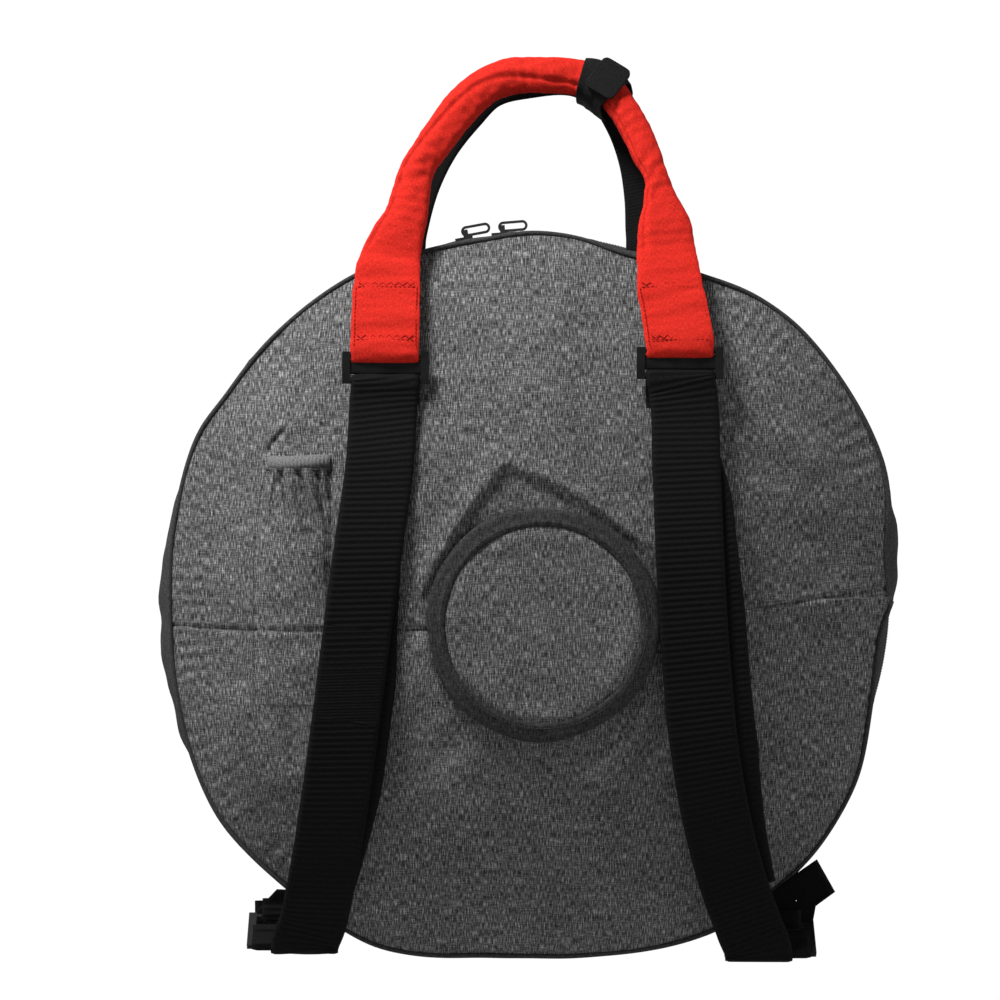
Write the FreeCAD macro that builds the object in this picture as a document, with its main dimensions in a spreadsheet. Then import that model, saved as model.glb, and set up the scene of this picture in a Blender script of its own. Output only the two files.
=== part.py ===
import FreeCAD, Part

import math
import os

import Sketcher
from FreeCAD import Placement, Rotation, Vector

# Padded round bag for a handpan, hanging from its carry handle.
# Millimetres. +X is the wearer's right when the bag is seen from the strap side, -Y faces the
# wearer, +Z is up. The origin is in the carry grip, straight above the middle of the bag.

DIMENSIONS = {
    # overall
    "grip_drop": 404.0,          # grip down to the middle of the bag
    "rim_radius": 282.0,         # outside of the side wall
    # front half, the side that is worn against the back
    "front_rim": -45.0,          # y of the front seam
    "front_apex": -120.0,        # y of the middle of the front panel
    "front_flat": 60.0,          # radius of the flat middle of the front panel
    # rear half, the cover that zips off
    "rear_rim": 40.0,
    "rear_apex": 112.0,
    "rear_flat": 110.0,
    # layers
    "skin": 1.2,
    "foam": 10.0,
    "lining": 0.8,
    "piping_radius": 2.0,
    # zip round the side wall
    "zip_plane": 8.0,
    "coil_gap": 0.6,
    "coil_width": 2.6,
    "tape_width": 10.0,
    "zip_sweep": 300.0,          # degrees of the rim that open
    # round pad in the middle of the front panel
    "pad_x": 9.0,
    "pad_drop": 18.0,
    "pad_radius": 74.0,
    "pad_band": 10.5,
    "pad_height": 11.0,
    # webbing
    "webbing": 50.0,
    "webbing_thickness": 2.0,
    # top loops
    "loop_width": 65.0,
    "loop_pitch": 19.0,
    "loop_side": 6.0,
    "bar_radius": 2.5,
    "fold_gap": 0.4,
    # lower ladder locks
    "lock_width": 70.0,
    "lock_pitch": 27.0,
    # slider
    "slider_length": 14.0,
    "slider_width": 11.0,
    "pull_length": 20.0,
    "pull_width": 8.4,
    "pull_wire": 2.0,
}

doc = FreeCAD.newDocument("handpan_bag")
sheet = doc.addObject("Spreadsheet::Sheet", "Dimensions")
for row, (alias, number) in enumerate(DIMENSIONS.items(), start=1):
    sheet.set("A%d" % row, alias)
    sheet.set("B%d" % row, str(number))
    sheet.setAlias("B%d" % row, alias)
doc.recompute()

SUB_PARTS = []


def dim(alias):
    """Value of one driving dimension."""
    return float(sheet.get(alias))


def value(expression):
    """Number that an expression over the sheet gives."""
    return float(sheet.evalExpression(expression))


def keep(feature, label):
    """Name a finished sub-part and list it for export."""
    feature.Label = label
    SUB_PARTS.append(feature)
    return feature


def hang(feature, x=0.0, y=0.0, z=0.0, rotation=None):
    """Place a feature from the middle of the bag, which hangs below the grip."""
    feature.Placement = Placement(Vector(x, y, z - dim("grip_drop")), rotation or Rotation())
    feature.setExpression("Placement.Base.z", "%r - Dimensions.grip_drop" % z)
    return feature


# ---------------------------------------------------------------- round pieces, turned about Y

def new_sketch(body, name):
    """Sketch on the body's own XY plane: x is the radius, y runs along the bag's axis."""
    sketch = body.newObject("Sketcher::SketchObject", name)
    plane = [item for item in body.Origin.OriginFeatures if item.Role == "XY_Plane"][0]
    sketch.AttachmentSupport = [(plane, "")]
    sketch.MapMode = "FlatFace"
    return sketch


def bind(sketch, kind, geometry, point, expression):
    """Hold a sketch point at a distance from the origin that the sheet gives."""
    constraint = Sketcher.Constraint(kind, -1, 1, geometry, point, value(expression))
    index = sketch.addConstraint(constraint)
    sketch.setExpression("Constraints[%d]" % index, sheet_expression(expression))


def sheet_expression(expression):
    """The same expression, as an object outside the sheet has to write it."""
    words = expression.split(" ")
    return " ".join("Dimensions." + word if word in DIMENSIONS else word for word in words)


def revolve(body, sketch, sweep="360"):
    """Turn a profile about Y, evenly to both sides of the plane that it was drawn in."""
    turned = body.newObject("PartDesign::Revolution", "Turn")
    turned.Profile = sketch
    turned.ReferenceAxis = (sketch, ["V_Axis"])
    turned.Midplane = True
    turned.setExpression("Angle", sheet_expression(sweep))
    turned.Angle = value(sweep)
    body.Tip = turned
    return turned


def ring(label, inner, outer, low, high, sweep="360", towards=0.0):
    """Band of rectangular section; towards is the rim angle of its middle, from the top."""
    body = doc.addObject("PartDesign::Body", label)
    sketch = new_sketch(body, label + "_section")
    r0, r1, y0, y1 = value(inner), value(outer), value(low), value(high)
    corners = [Vector(r0, y0, 0), Vector(r1, y0, 0), Vector(r1, y1, 0), Vector(r0, y1, 0)]
    for index in range(4):
        sketch.addGeometry(Part.LineSegment(corners[index], corners[(index + 1) % 4]))
    for index in range(4):
        sketch.addConstraint(Sketcher.Constraint("Coincident", index, 2, (index + 1) % 4, 1))
    for index, kind in enumerate(("Horizontal", "Vertical", "Horizontal", "Vertical")):
        sketch.addConstraint(Sketcher.Constraint(kind, index))
    bind(sketch, "DistanceX", 0, 1, inner)
    bind(sketch, "DistanceY", 0, 1, low)
    bind(sketch, "DistanceX", 2, 1, outer)
    bind(sketch, "DistanceY", 2, 1, high)
    revolve(body, sketch, sweep)
    hang(body, rotation=Rotation(Vector(0, 1, 0), towards - 90.0))
    return body


def dome(label, half, outer_offset, thickness, edge):
    """Layer of a bulging panel: flat in the middle, then an arc down to the radius edge.

    outer_offset is how far the layer's outer face lies inside the bag's outer face, and
    thickness None fills the whole half, down to the plane y = 0.
    """
    sign = -1.0 if half == "front" else 1.0
    apex, rim, flat = dim(half + "_apex"), dim(half + "_rim"), dim(half + "_flat")
    reach, rise = dim("rim_radius") - flat, abs(apex - rim)
    bend = (reach * reach + rise * rise) / (2.0 * rise)
    centre = Vector(flat, apex - sign * bend, 0)
    end = value(edge)

    def point(radius, offset):
        across = math.sqrt((bend - offset) ** 2 - (radius - flat) ** 2)
        return Vector(radius, centre.y + sign * across, 0)

    def layer_edge(offset, outward):
        middle = point(flat + 0.5 * (end - flat), offset)
        arc = Part.Arc(point(flat, offset), middle, point(end, offset)).toShape()
        level = apex - sign * offset
        line = Part.makeLine(Vector(0, level, 0), Vector(flat, level, 0))
        return [line, arc] if outward else [arc, line]

    outer = layer_edge(outer_offset, True)
    if thickness is None:
        corner = Vector(end, 0, 0)
        foot = Vector(0, 0, 0)
        closing = [Part.makeLine(point(end, outer_offset), corner), Part.makeLine(corner, foot)]
        closing.append(Part.makeLine(foot, Vector(0, apex - sign * outer_offset, 0)))
        edges = outer + closing
    else:
        inner_offset = outer_offset + thickness
        edges = outer + [Part.makeLine(point(end, outer_offset), point(end, inner_offset))]
        edges += layer_edge(inner_offset, False)
        level = Vector(0, apex - sign * inner_offset, 0)
        edges.append(Part.makeLine(level, Vector(0, apex - sign * outer_offset, 0)))
    face = Part.Face(Part.Wire(Part.__sortEdges__(edges)))
    feature = doc.addObject("Part::Feature", label)
    feature.Shape = face.revolve(Vector(0, 0, 0), Vector(0, 1, 0), 360)
    return hang(feature)


def torus(label, y_alias):
    """Round piping in the seam between a panel and the side wall."""
    feature = doc.addObject("Part::Torus", label)
    feature.setExpression("Radius1", "Dimensions.rim_radius + Dimensions.piping_radius + 0.3")
    feature.setExpression("Radius2", "Dimensions.piping_radius")
    hang(feature, y=dim(y_alias), rotation=Rotation(Vector(1, 0, 0), 90))
    feature.setExpression("Placement.Base.y", "Dimensions." + y_alias)
    return feature


def solid_box(label, low, high):
    """Box between two corners, measured from the middle of the bag."""
    feature = doc.addObject("Part::Box", label)
    feature.Length, feature.Width, feature.Height = [b - a for a, b in zip(low, high)]
    return hang(feature, *low)


def boolean(kind, label, base, tool):
    """Cut, Common or Fuse of two features."""
    feature = doc.addObject("Part::" + kind, label)
    feature.Base = base
    feature.Tool = tool
    return feature


# ---------------------------------------------------------------- webbing and sleeves

def section(centre, across, normal, width, thickness, sides=4):
    """Closed wire of one cross-section: a rectangle, or an oval of more sides."""
    across, normal = Vector(across).normalize(), Vector(normal).normalize()
    corners = []
    for index in range(sides):
        if sides == 4:
            u = (0.5, 0.5, -0.5, -0.5)[index]
            v = (-0.5, 0.5, 0.5, -0.5)[index]
        else:
            angle = 2.0 * math.pi * (index + 0.5) / sides
            u, v = 0.5 * math.cos(angle), 0.5 * math.sin(angle)
        corners.append(centre + across * (u * width) + normal * (v * thickness))
    return Part.makePolygon(corners + corners[:1])


def webbing(label, stations, thickness):
    """Flat strap through stations (x, y, z, width), each lying level across X."""
    wires = []
    for x, y, z, width in stations:
        wires.append(section(Vector(x, y, z), Vector(1, 0, 0), Vector(0, 1, 0), width, thickness))
    feature = doc.addObject("Part::Feature", label)
    feature.Shape = Part.makeLoft(wires, True, True)
    return hang(feature)


def arch_frames(route, foot_y, top_y):
    """Centre, in-plane normal and out-of-plane normal at each (x, z) point of a leaning arch."""
    low, high = route[0][1], max(z for x, z in route)
    lean = (top_y - foot_y) / (high - low)
    points = [Vector(x, foot_y + lean * (z - low), z) for x, z in route]
    facing = Vector(0, -1, lean).normalize()
    frames = []
    for index, point in enumerate(points):
        before = points[max(index - 1, 0)]
        after = points[min(index + 1, len(points) - 1)]
        along = (after - before).normalize()
        frames.append((point, along.cross(facing), facing))
    return frames


def arch_solid(route, foot_y, top_y, widths, depth, sides, forward=0.0):
    """Solid along a leaning arch, with a width for each point of the route."""
    wires = []
    for (point, across, facing), width in zip(arch_frames(route, foot_y, top_y), widths):
        wires.append(section(point + facing * forward, across, facing, width, depth, sides))
    return Part.makeLoft(wires, True, True)


def shape_feature(label, shape):
    """Sub-part whose shape is worked out above, placed from the middle of the bag."""
    feature = doc.addObject("Part::Feature", label)
    feature.Shape = shape
    return hang(feature)


# ---------------------------------------------------------------- front half

SKIN_IN = "rim_radius - skin"
FOAM_IN = "rim_radius - skin - foam"
LINING_IN = "rim_radius - skin - foam - lining"
FRONT_WALL = "front_rim + 2"
REAR_WALL = "rear_rim - 2"
TAPE_FRONT = "zip_plane - coil_gap - coil_width - tape_width"
TAPE_REAR = "zip_plane + coil_gap + coil_width + tape_width"
COIL_FRONT = "zip_plane - coil_gap - coil_width"
COIL_REAR = "zip_plane + coil_gap + coil_width"
SEAM_HEIGHT = -27.0
FAR = 320.0


def build_panel_layers(half, names):
    """Outer fabric, foam and lining of one bulging panel; names gives the last two labels."""
    foam_edge = FOAM_IN + " - 0.6"
    skin = dome(half + "_skin", half, 0.0, dim("skin"), "rim_radius")
    keep(dome(names[0], half, dim("skin"), dim("foam"), foam_edge), names[0])
    depth = dim("skin") + dim("foam")
    keep(dome(names[1], half, depth, dim("lining"), foam_edge), names[1])
    return skin


def build_front_half():
    skin = build_panel_layers("front", ("front_foam", "front_lining"))
    above = solid_box("above_seam", (-FAR, -FAR, SEAM_HEIGHT), (FAR, 0, FAR))
    below = solid_box("below_seam", (-FAR, -FAR, -FAR), (FAR, 0, SEAM_HEIGHT))
    keep(boolean("Common", "upper_back_panel", skin, above), "upper_back_panel")
    keep(boolean("Common", "lower_back_panel", skin, below), "lower_back_panel")
    keep(torus("front_piping", "front_rim"), "front_piping")
    keep(ring("front_gusset", SKIN_IN, "rim_radius", FRONT_WALL, TAPE_FRONT), "front_gusset")
    keep(ring("front_wall_foam", FOAM_IN, SKIN_IN, FRONT_WALL, TAPE_FRONT), "front_wall_foam")
    lining = ring("front_wall_lining", LINING_IN, FOAM_IN, "front_rim + 7", TAPE_FRONT)
    keep(lining, "front_wall_lining")


def build_rear_half():
    skin = build_panel_layers("rear", ("rear_foam", "rear_lining"))
    keep(skin, "rear_panel")
    keep(torus("rear_piping", "rear_rim"), "rear_piping")
    keep(ring("rear_gusset", SKIN_IN, "rim_radius", TAPE_REAR, REAR_WALL), "rear_gusset")
    keep(ring("rear_wall_foam", FOAM_IN, SKIN_IN, TAPE_REAR, REAR_WALL), "rear_wall_foam")
    lining = ring("rear_wall_lining", LINING_IN, FOAM_IN, TAPE_REAR, "rear_rim - 7")
    keep(lining, "rear_wall_lining")


def build_zip():
    """Two tapes with their coils, and the fabric hinge that joins the halves at the bottom."""
    hinge_sweep = "360 - zip_sweep - 2"
    tape_out = "rim_radius - 0.2"
    coil_in, coil_out = "rim_radius - skin - 0.6", "rim_radius + 1.6"
    coil_front_end, coil_rear_end = "zip_plane - coil_gap", "zip_plane + coil_gap"
    hinge_front_end, hinge_rear_end = "zip_plane - 0.2", "zip_plane + 0.2"
    rings = (
        ("front_zip_tape", SKIN_IN, tape_out, TAPE_FRONT, COIL_FRONT, "zip_sweep", 0.0),
        ("rear_zip_tape", SKIN_IN, tape_out, COIL_REAR, TAPE_REAR, "zip_sweep", 0.0),
        ("front_zip_coil", coil_in, coil_out, COIL_FRONT, coil_front_end, "zip_sweep", 0.0),
        ("rear_zip_coil", coil_in, coil_out, coil_rear_end, COIL_REAR, "zip_sweep", 0.0),
        ("front_hinge_strip", SKIN_IN, "rim_radius", TAPE_FRONT, hinge_front_end, hinge_sweep, 180.0),
        ("rear_hinge_strip", SKIN_IN, "rim_radius", hinge_rear_end, TAPE_REAR, hinge_sweep, 180.0),
    )
    for label, inner, outer, low, high, sweep, towards in rings:
        keep(ring(label, inner, outer, low, high, sweep, towards), label)


# ---------------------------------------------------------------- zip sliders and pulls

SLIDER_ANGLES = {"left": -10.4, "right": -4.6}
PIN_HEIGHT = 8.6
PIN_X = 2.0
PIN_RADIUS = 0.9
# heights above the rim of the slider's plates and web
SLIDER_TOP = (2.4, 4.0)
SLIDER_BOTTOM = (-4.6, -3.2)
SLIDER_WEB = (-3.4, 2.6)
LUG_OFFSET = 2.6                     # of each lug from the zip's middle
LUG_LENGTH, LUG_WIDTH = 4.0, 1.2
PIN_SPAN = 6.4


def rim_placement(feature, angle):
    """Place a piece drawn at the top of the rim at an angle round it."""
    turn = Rotation(Vector(0, 1, 0), angle)
    feature.Placement = Placement(Vector(0, 0, -dim("grip_drop")), turn)
    feature.setExpression("Placement.Base.z", "-Dimensions.grip_drop")
    return feature


def centred_box(x, y, low_z, high_z, length, width):
    """Box between two heights, centred on x and y."""
    return Part.makeBox(length, width, high_z - low_z, Vector(x - length / 2, y - width / 2, low_z))


def slider_shape():
    """Plates above and below the coils, a web between them, and two lugs holding a pin."""
    rim, mid = dim("rim_radius"), dim("zip_plane")
    length, width = dim("slider_length"), dim("slider_width")
    plates = ((SLIDER_TOP, length, width), (SLIDER_BOTTOM, length, width),
              (SLIDER_WEB, length - LUG_LENGTH, dim("coil_gap")))
    pieces = []
    for (low, high), size, depth in plates:
        pieces.append(centred_box(0, mid, rim + low, rim + high, size, depth))
    lug_foot, lug_top = rim + SLIDER_TOP[1] - 0.2, rim + PIN_HEIGHT + 1.2
    for side in (-1, 1):
        y = mid + side * LUG_OFFSET
        pieces.append(centred_box(PIN_X, y, lug_foot, lug_top, LUG_LENGTH, LUG_WIDTH))
    foot = Vector(PIN_X, mid - PIN_SPAN / 2, rim + PIN_HEIGHT)
    pieces.append(Part.makeCylinder(PIN_RADIUS, PIN_SPAN, foot, Vector(0, 1, 0)))
    return pieces[0].multiFuse(pieces[1:])


def pull_shape():
    """Long wire ring that hangs on the slider's pin and lies along the zip."""
    rim, mid, wire = dim("rim_radius"), dim("zip_plane"), dim("pull_wire")
    height = rim + PIN_HEIGHT

    def stadium(half_width, start, end):
        low, high = Vector(start, mid - wire / 2, height), Vector(end, mid - wire / 2, height)
        up = Vector(0, 0, half_width)
        side = Vector(half_width, 0, 0)
        edges = [Part.makeLine(low + up, high + up),
                 Part.Arc(high + up, high + side, high - up).toShape(),
                 Part.makeLine(high - up, low - up),
                 Part.Arc(low - up, low - side, low + up).toShape()]
        return Part.Face(Part.Wire(edges)).extrude(Vector(0, wire, 0))

    half = dim("pull_width") / 2
    start = PIN_X - PIN_RADIUS - 0.4 + half - wire
    end = PIN_X + dim("pull_length") - half
    return stadium(half, start, end).cut(stadium(half - wire, start, end))


def build_sliders():
    for side, angle in SLIDER_ANGLES.items():
        for label, shape in (("zip_slider_", slider_shape()), ("zip_pull_", pull_shape())):
            feature = doc.addObject("Part::Feature", label + side)
            feature.Shape = shape
            keep(rim_placement(feature, angle), label + side)


# ---------------------------------------------------------------- pad and side pocket

POCKET_LOW = (-208.0, -62.0)        # x, z of the lower outer corner
POCKET_HIGH = (-158.0, 98.0)
POCKET_DEPTH = 16.0
POCKET_WALL = 1.6
ELASTIC_HEIGHT = 11.0


def build_pad():
    """Raised round pad with a bound edge, hollowed at the back to sit on the bulging panel."""
    panel = dome("panel_form", "front", 0.0, None, "rim_radius")
    bound = dim("pad_radius") + dim("pad_band")
    pieces = (("centre_pad", 0.0, dim("pad_radius"), dim("pad_height")),
              ("centre_pad_band", dim("pad_radius"), bound, dim("pad_height") - 1.0))
    for label, inner, outer, height in pieces:
        foot = Vector(0, -dim("front_flat"), 0)
        length = abs(dim("front_apex")) + height - dim("front_flat")
        disc = Part.makeCylinder(outer, length, foot, Vector(0, -1, 0))
        if inner:
            disc = disc.cut(Part.makeCylinder(inner, length, foot, Vector(0, -1, 0)))
        blank = doc.addObject("Part::Feature", label + "_blank")
        blank.Shape = disc
        hang(blank, dim("pad_x"), 0, -dim("pad_drop"))
        keep(boolean("Cut", label, blank, panel), label)
    return panel


def build_side_pocket(panel):
    """Pocket for a bottle or sticks on the left of the front panel, open at the top."""
    depth, wall = POCKET_DEPTH, POCKET_WALL
    outer_form = dome("pocket_outer_form", "front", -depth, None, "rim_radius")
    inner_form = dome("pocket_inner_form", "front", wall - depth, None, "rim_radius")
    low = (POCKET_LOW[0], -FAR, POCKET_LOW[1])
    high = (POCKET_HIGH[0], dim("front_rim"), POCKET_HIGH[1])
    block = boolean("Common", "pocket_block", solid_box("pocket_box", low, high), outer_form)
    shell = boolean("Cut", "pocket_on_panel", block, panel)
    inside = solid_box("pocket_inside", (low[0] + wall, low[1], low[2] + wall),
                       (high[0] - wall, high[1], high[2] + wall))
    room = boolean("Common", "pocket_room", inside, inner_form)
    keep(boolean("Cut", "side_pocket", shell, room), "side_pocket")
    band_form = dome("elastic_form", "front", -depth - wall, None, "rim_radius")
    band_box = solid_box("elastic_box", (low[0], low[1], high[2] - ELASTIC_HEIGHT), high)
    band = boolean("Common", "elastic_block", band_box, band_form)
    keep(boolean("Cut", "side_pocket_elastic", band, outer_form), "side_pocket_elastic")


# ---------------------------------------------------------------- carry handle

# (x, z) along the middle of the red handle, over the grip, and its flattened width at each point
HANDLE_ROUTE = ((-108.0, 246.0), (-101.0, 272.0), (-94.0, 297.0), (-85.0, 331.0), (-70.0, 355.0),
                (-50.0, 380.0), (-31.0, 396.0), (0.0, 404.0), (40.0, 404.0), (60.0, 396.0),
                (77.0, 373.0), (90.0, 344.0), (99.0, 318.0), (102.0, 290.0), (106.0, 246.0))
HANDLE_WIDTHS = (48.0, 42.0, 36.0, 33.0, 32.0, 31.0, 30.0, 29.0, 29.0, 28.0, 28.0, 28.0, 30.0,
                 40.0, 48.0)
HANDLE_DEPTH = 20.0
SLEEVE_WALL = 2.5
HANDLE_FOOT_Y = -75.0
HANDLE_TOP_Y = -13.0
REAR_ROUTE = ((-106.0, 244.0), (-101.0, 290.0), (-88.0, 326.0), (-72.0, 352.0), (-50.0, 379.0),
              (-30.0, 395.0), (0.0, 403.0), (40.0, 403.0), (58.0, 394.0), (73.0, 372.0),
              (87.0, 340.0), (95.0, 312.0), (99.0, 290.0), (100.0, 244.0))
REAR_WIDTHS = (48.0, 46.0, 38.0, 28.0, 24.0, 22.0, 22.0, 20.0, 18.0, 18.0, 30.0, 42.0, 48.0, 48.0)
REAR_FOOT_Y = -20.0
REAR_TOP_Y = 2.0
WRAP_SPAN = (8, 11)                  # points of the route that the wrap covers
WRAP_CLEARANCE = 1.2
WRAP_WALL = 1.8
WRAP_BACK = 25.0                     # how far the wrap reaches behind the handle's middle
FLAP_LENGTH, FLAP_WIDTH, FLAP_THICKNESS = 26.0, 30.0, 2.0
FLAP_LIFT = 1.6                      # its middle plane stands this far off the wrap
FLAP_OFFSET = 1.0                    # it is set this far towards its free edge


def build_handle():
    """Padded sleeve round a webbing core, and the plain webbing loop behind it."""
    widths = HANDLE_WIDTHS
    outer = arch_solid(HANDLE_ROUTE, HANDLE_FOOT_Y, HANDLE_TOP_Y, widths, HANDLE_DEPTH, 12)
    core_widths = [width - 2 * SLEEVE_WALL for width in widths]
    core_depth = HANDLE_DEPTH - 2 * SLEEVE_WALL
    core = arch_solid(HANDLE_ROUTE, HANDLE_FOOT_Y, HANDLE_TOP_Y, core_widths, core_depth, 12)
    keep(shape_feature("handle_sleeve", outer.cut(core)), "handle_sleeve")
    keep(shape_feature("handle_core", core), "handle_core")
    rear = arch_solid(REAR_ROUTE, REAR_FOOT_Y, REAR_TOP_Y, REAR_WIDTHS, dim("webbing_thickness"), 4)
    wall = Part.makeCylinder(dim("rim_radius"), FAR, Vector(0, -FAR / 2, 0), Vector(0, 1, 0))
    keep(shape_feature("rear_handle_webbing", rear.cut(wall)), "rear_handle_webbing")


def wrap_tube(widths, grow):
    """Block round the handle and the rear webbing over part of the route."""
    front = HANDLE_DEPTH / 2 + grow
    depth = front + WRAP_BACK + grow
    forward = front - depth / 2
    frames = arch_frames(HANDLE_ROUTE, HANDLE_FOOT_Y, HANDLE_TOP_Y)[WRAP_SPAN[0]:WRAP_SPAN[1]]
    wires = []
    for (point, across, facing), width in zip(frames, widths):
        wires.append(section(point + facing * forward, across, facing, width + 2 * grow, depth))
    return Part.makeLoft(wires, True, True)


def build_wrap():
    """Hook-and-loop wrap that holds the sleeve and the rear webbing together, with its flap."""
    widths = HANDLE_WIDTHS[WRAP_SPAN[0]:WRAP_SPAN[1]]
    outer = wrap_tube(widths, WRAP_CLEARANCE + WRAP_WALL)
    inner = wrap_tube(widths, WRAP_CLEARANCE)
    keep(shape_feature("handle_wrap", outer.cut(inner)), "handle_wrap")
    frames = arch_frames(HANDLE_ROUTE, HANDLE_FOOT_Y, HANDLE_TOP_Y)
    point, across, facing = frames[(WRAP_SPAN[0] + WRAP_SPAN[1]) // 2]
    lift = HANDLE_DEPTH / 2 + WRAP_CLEARANCE + WRAP_WALL + FLAP_LIFT
    middle = point + facing * lift - across * FLAP_OFFSET
    wires = []
    for step in (-FLAP_LENGTH / 2, FLAP_LENGTH / 2):
        place = middle + across.cross(facing) * step
        wires.append(section(place, across, facing, FLAP_WIDTH, FLAP_THICKNESS))
    keep(shape_feature("wrap_flap", Part.makeLoft(wires, True, True)), "wrap_flap")


# ---------------------------------------------------------------- straps and their fittings

SIDES = (("left", -1), ("right", 1))
LOOP_BAR = {"left": (-109.0, -107.0, 183.5), "right": (112.0, -107.0, 187.0)}
STRAP_ROUTES = {
    "left": ((-110.0, -108.0, 153.0), (-113.0, -119.0, 100.0), (-121.0, -126.0, 40.0),
             (-129.0, -126.0, -20.0), (-138.0, -121.0, -90.0), (-149.0, -109.0, -165.0),
             (-158.0, -95.0, -215.0), (-165.0, -81.0, -250.0)),
    "right": ((114.0, -108.0, 156.0), (116.0, -119.0, 100.0), (118.0, -126.0, 40.0),
              (121.0, -126.0, -20.0), (128.0, -121.0, -100.0), (140.0, -109.0, -168.0),
              (154.0, -95.0, -218.0), (164.0, -81.0, -250.0)),
}
TAIL_SHIFT = (9.0, 4.0)              # how far the doubled webbing lies outwards and behind
LOCK_BAR = {"left": (-181.0, -50.0, -246.0), "right": (183.0, -50.0, -252.0)}
LOCK_PITCH_ANGLE = 48.0
# the flat ends of the handle: overlap above the loop's bar, then (y, z) up the panel
END_OVERLAP = 8.0
END_PLATE = ((-88.0, 208.0), (-74.0, 238.0))
END_THICKNESS = 3.0
FOLD_TAIL = 5.0                      # doubled webbing below the loop's lower bar
# outline of the anchor wing as (x, z), from the lock's bar
ANCHOR_OUTLINE = ((34.0, 48.0), (50.0, 25.0), (37.0, 1.0), (-23.0, 1.0), (-5.0, 20.0))


def bar_frame(label, width, pitch, side_width, bar_count, place):
    """Moulded frame with round bars along X; its own origin is on the first bar."""
    radius = dim("bar_radius")
    pieces = []
    for side in (-1, 1):
        end = doc.addObject("Part::Box", label + "_side")
        end.Length, end.Width, end.Height = side_width, 2 * radius, pitch + 2 * radius
        x = side * (width - side_width) / 2 - side_width / 2
        end.Placement.Base = Vector(x, -radius, -pitch - radius)
        pieces.append(end)
    for index in range(bar_count):
        bar = doc.addObject("Part::Cylinder", label + "_bar")
        bar.setExpression("Radius", "Dimensions.bar_radius")
        bar.Height = width - side_width
        drop = pitch * index / (bar_count - 1)
        start = Vector(-(width - side_width) / 2, 0, -drop)
        bar.Placement = Placement(start, Rotation(Vector(0, 1, 0), 90))
        pieces.append(bar)
    frame = doc.addObject("Part::MultiFuse", label)
    frame.Shapes = pieces
    frame.Placement = place
    return frame


def fold(label, width, place, along):
    """Webbing folded round a bar, with a short doubled tail of the given length."""
    inner = dim("bar_radius") + dim("fold_gap")
    outer = inner + dim("webbing_thickness")
    start = Vector(-width / 2, 0, 0)
    roll = Part.makeCylinder(outer, width, start, Vector(1, 0, 0))
    if along:
        tail = Part.makeBox(width, 2 * outer, abs(along), Vector(-width / 2, -outer, min(along, 0)))
        roll = roll.fuse(tail)
    roll = roll.cut(Part.makeCylinder(inner, width, start, Vector(1, 0, 0)))
    feature = doc.addObject("Part::Feature", label)
    feature.Shape = roll
    feature.Placement = place
    return feature


def bar_place(position, pitch_angle=0.0):
    """Placement of a fitting whose first bar is at a point measured from the bag's middle."""
    x, y, z = position
    return Placement(Vector(x, y, z - dim("grip_drop")), Rotation(Vector(1, 0, 0), pitch_angle))


def lower_bar(position, pitch, pitch_angle):
    """Position of a fitting's last bar."""
    x, y, z = position
    angle = math.radians(pitch_angle)
    return (x, y + pitch * math.sin(angle), z - pitch * math.cos(angle))


def build_strap(side, sign):
    """One shoulder strap: handle end, top loop, strap, its doubled tail, ladder lock, anchor."""
    web, thick = dim("webbing"), dim("webbing_thickness")
    bar = LOOP_BAR[side]
    end = fold("handle_end_fold_" + side, web, bar_place(bar), END_OVERLAP)
    x, y, z = bar
    flat = [(x, y + dim("fold_gap"), z + END_OVERLAP, web)]
    flat += [(x, plate_y, plate_z, web) for plate_y, plate_z in END_PLATE]
    plate = webbing("handle_plate_" + side, flat, END_THICKNESS)
    keep(boolean("Fuse", "handle_end_" + side, end, plate), "handle_end_" + side)
    loop_pitch = dim("loop_pitch")
    loop = bar_frame("top_loop_" + side, dim("loop_width"), loop_pitch, dim("loop_side"), 2,
                     bar_place(bar))
    keep(loop, "top_loop_" + side)
    low = lower_bar(bar, loop_pitch, 0.0)
    keep(fold("strap_fold_" + side, web, bar_place(low), -FOLD_TAIL), "strap_fold_" + side)

    route = STRAP_ROUTES[side]
    keep(webbing("shoulder_strap_" + side, [point + (web,) for point in route], thick),
         "shoulder_strap_" + side)
    out, back = TAIL_SHIFT
    tail = [(x + out, y + back, z, web) for x, y, z in route[2:-1]]
    keep(webbing("strap_tail_" + side, tail, thick), "strap_tail_" + side)

    hold, pitch = LOCK_BAR[side], dim("lock_pitch")
    place = bar_place(hold, -LOCK_PITCH_ANGLE)
    keep(bar_frame("ladder_lock_" + side, dim("lock_width"), pitch, dim("loop_side"), 3, place),
         "ladder_lock_" + side)
    roll = lower_bar(hold, pitch, -LOCK_PITCH_ANGLE)
    keep(fold("strap_roll_" + side, web, bar_place(roll), 0.0), "strap_roll_" + side)
    anchor_fold = fold("anchor_fold_" + side, web, bar_place(hold), 0.0)
    outline = [Vector(sign * px, 0, pz) for px, pz in ANCHOR_OUTLINE]
    wing_face = Part.Face(Part.makePolygon(outline + outline[:1]))
    wing = doc.addObject("Part::Feature", "anchor_wing_" + side)
    wing.Shape = wing_face.extrude(Vector(0, thick, 0))
    wing.Placement = bar_place((hold[0], hold[1] + dim("bar_radius") + dim("fold_gap"), hold[2]))
    keep(boolean("Fuse", "anchor_tab_" + side, anchor_fold, wing), "anchor_tab_" + side)


# ---------------------------------------------------------------- build, check and export

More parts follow.
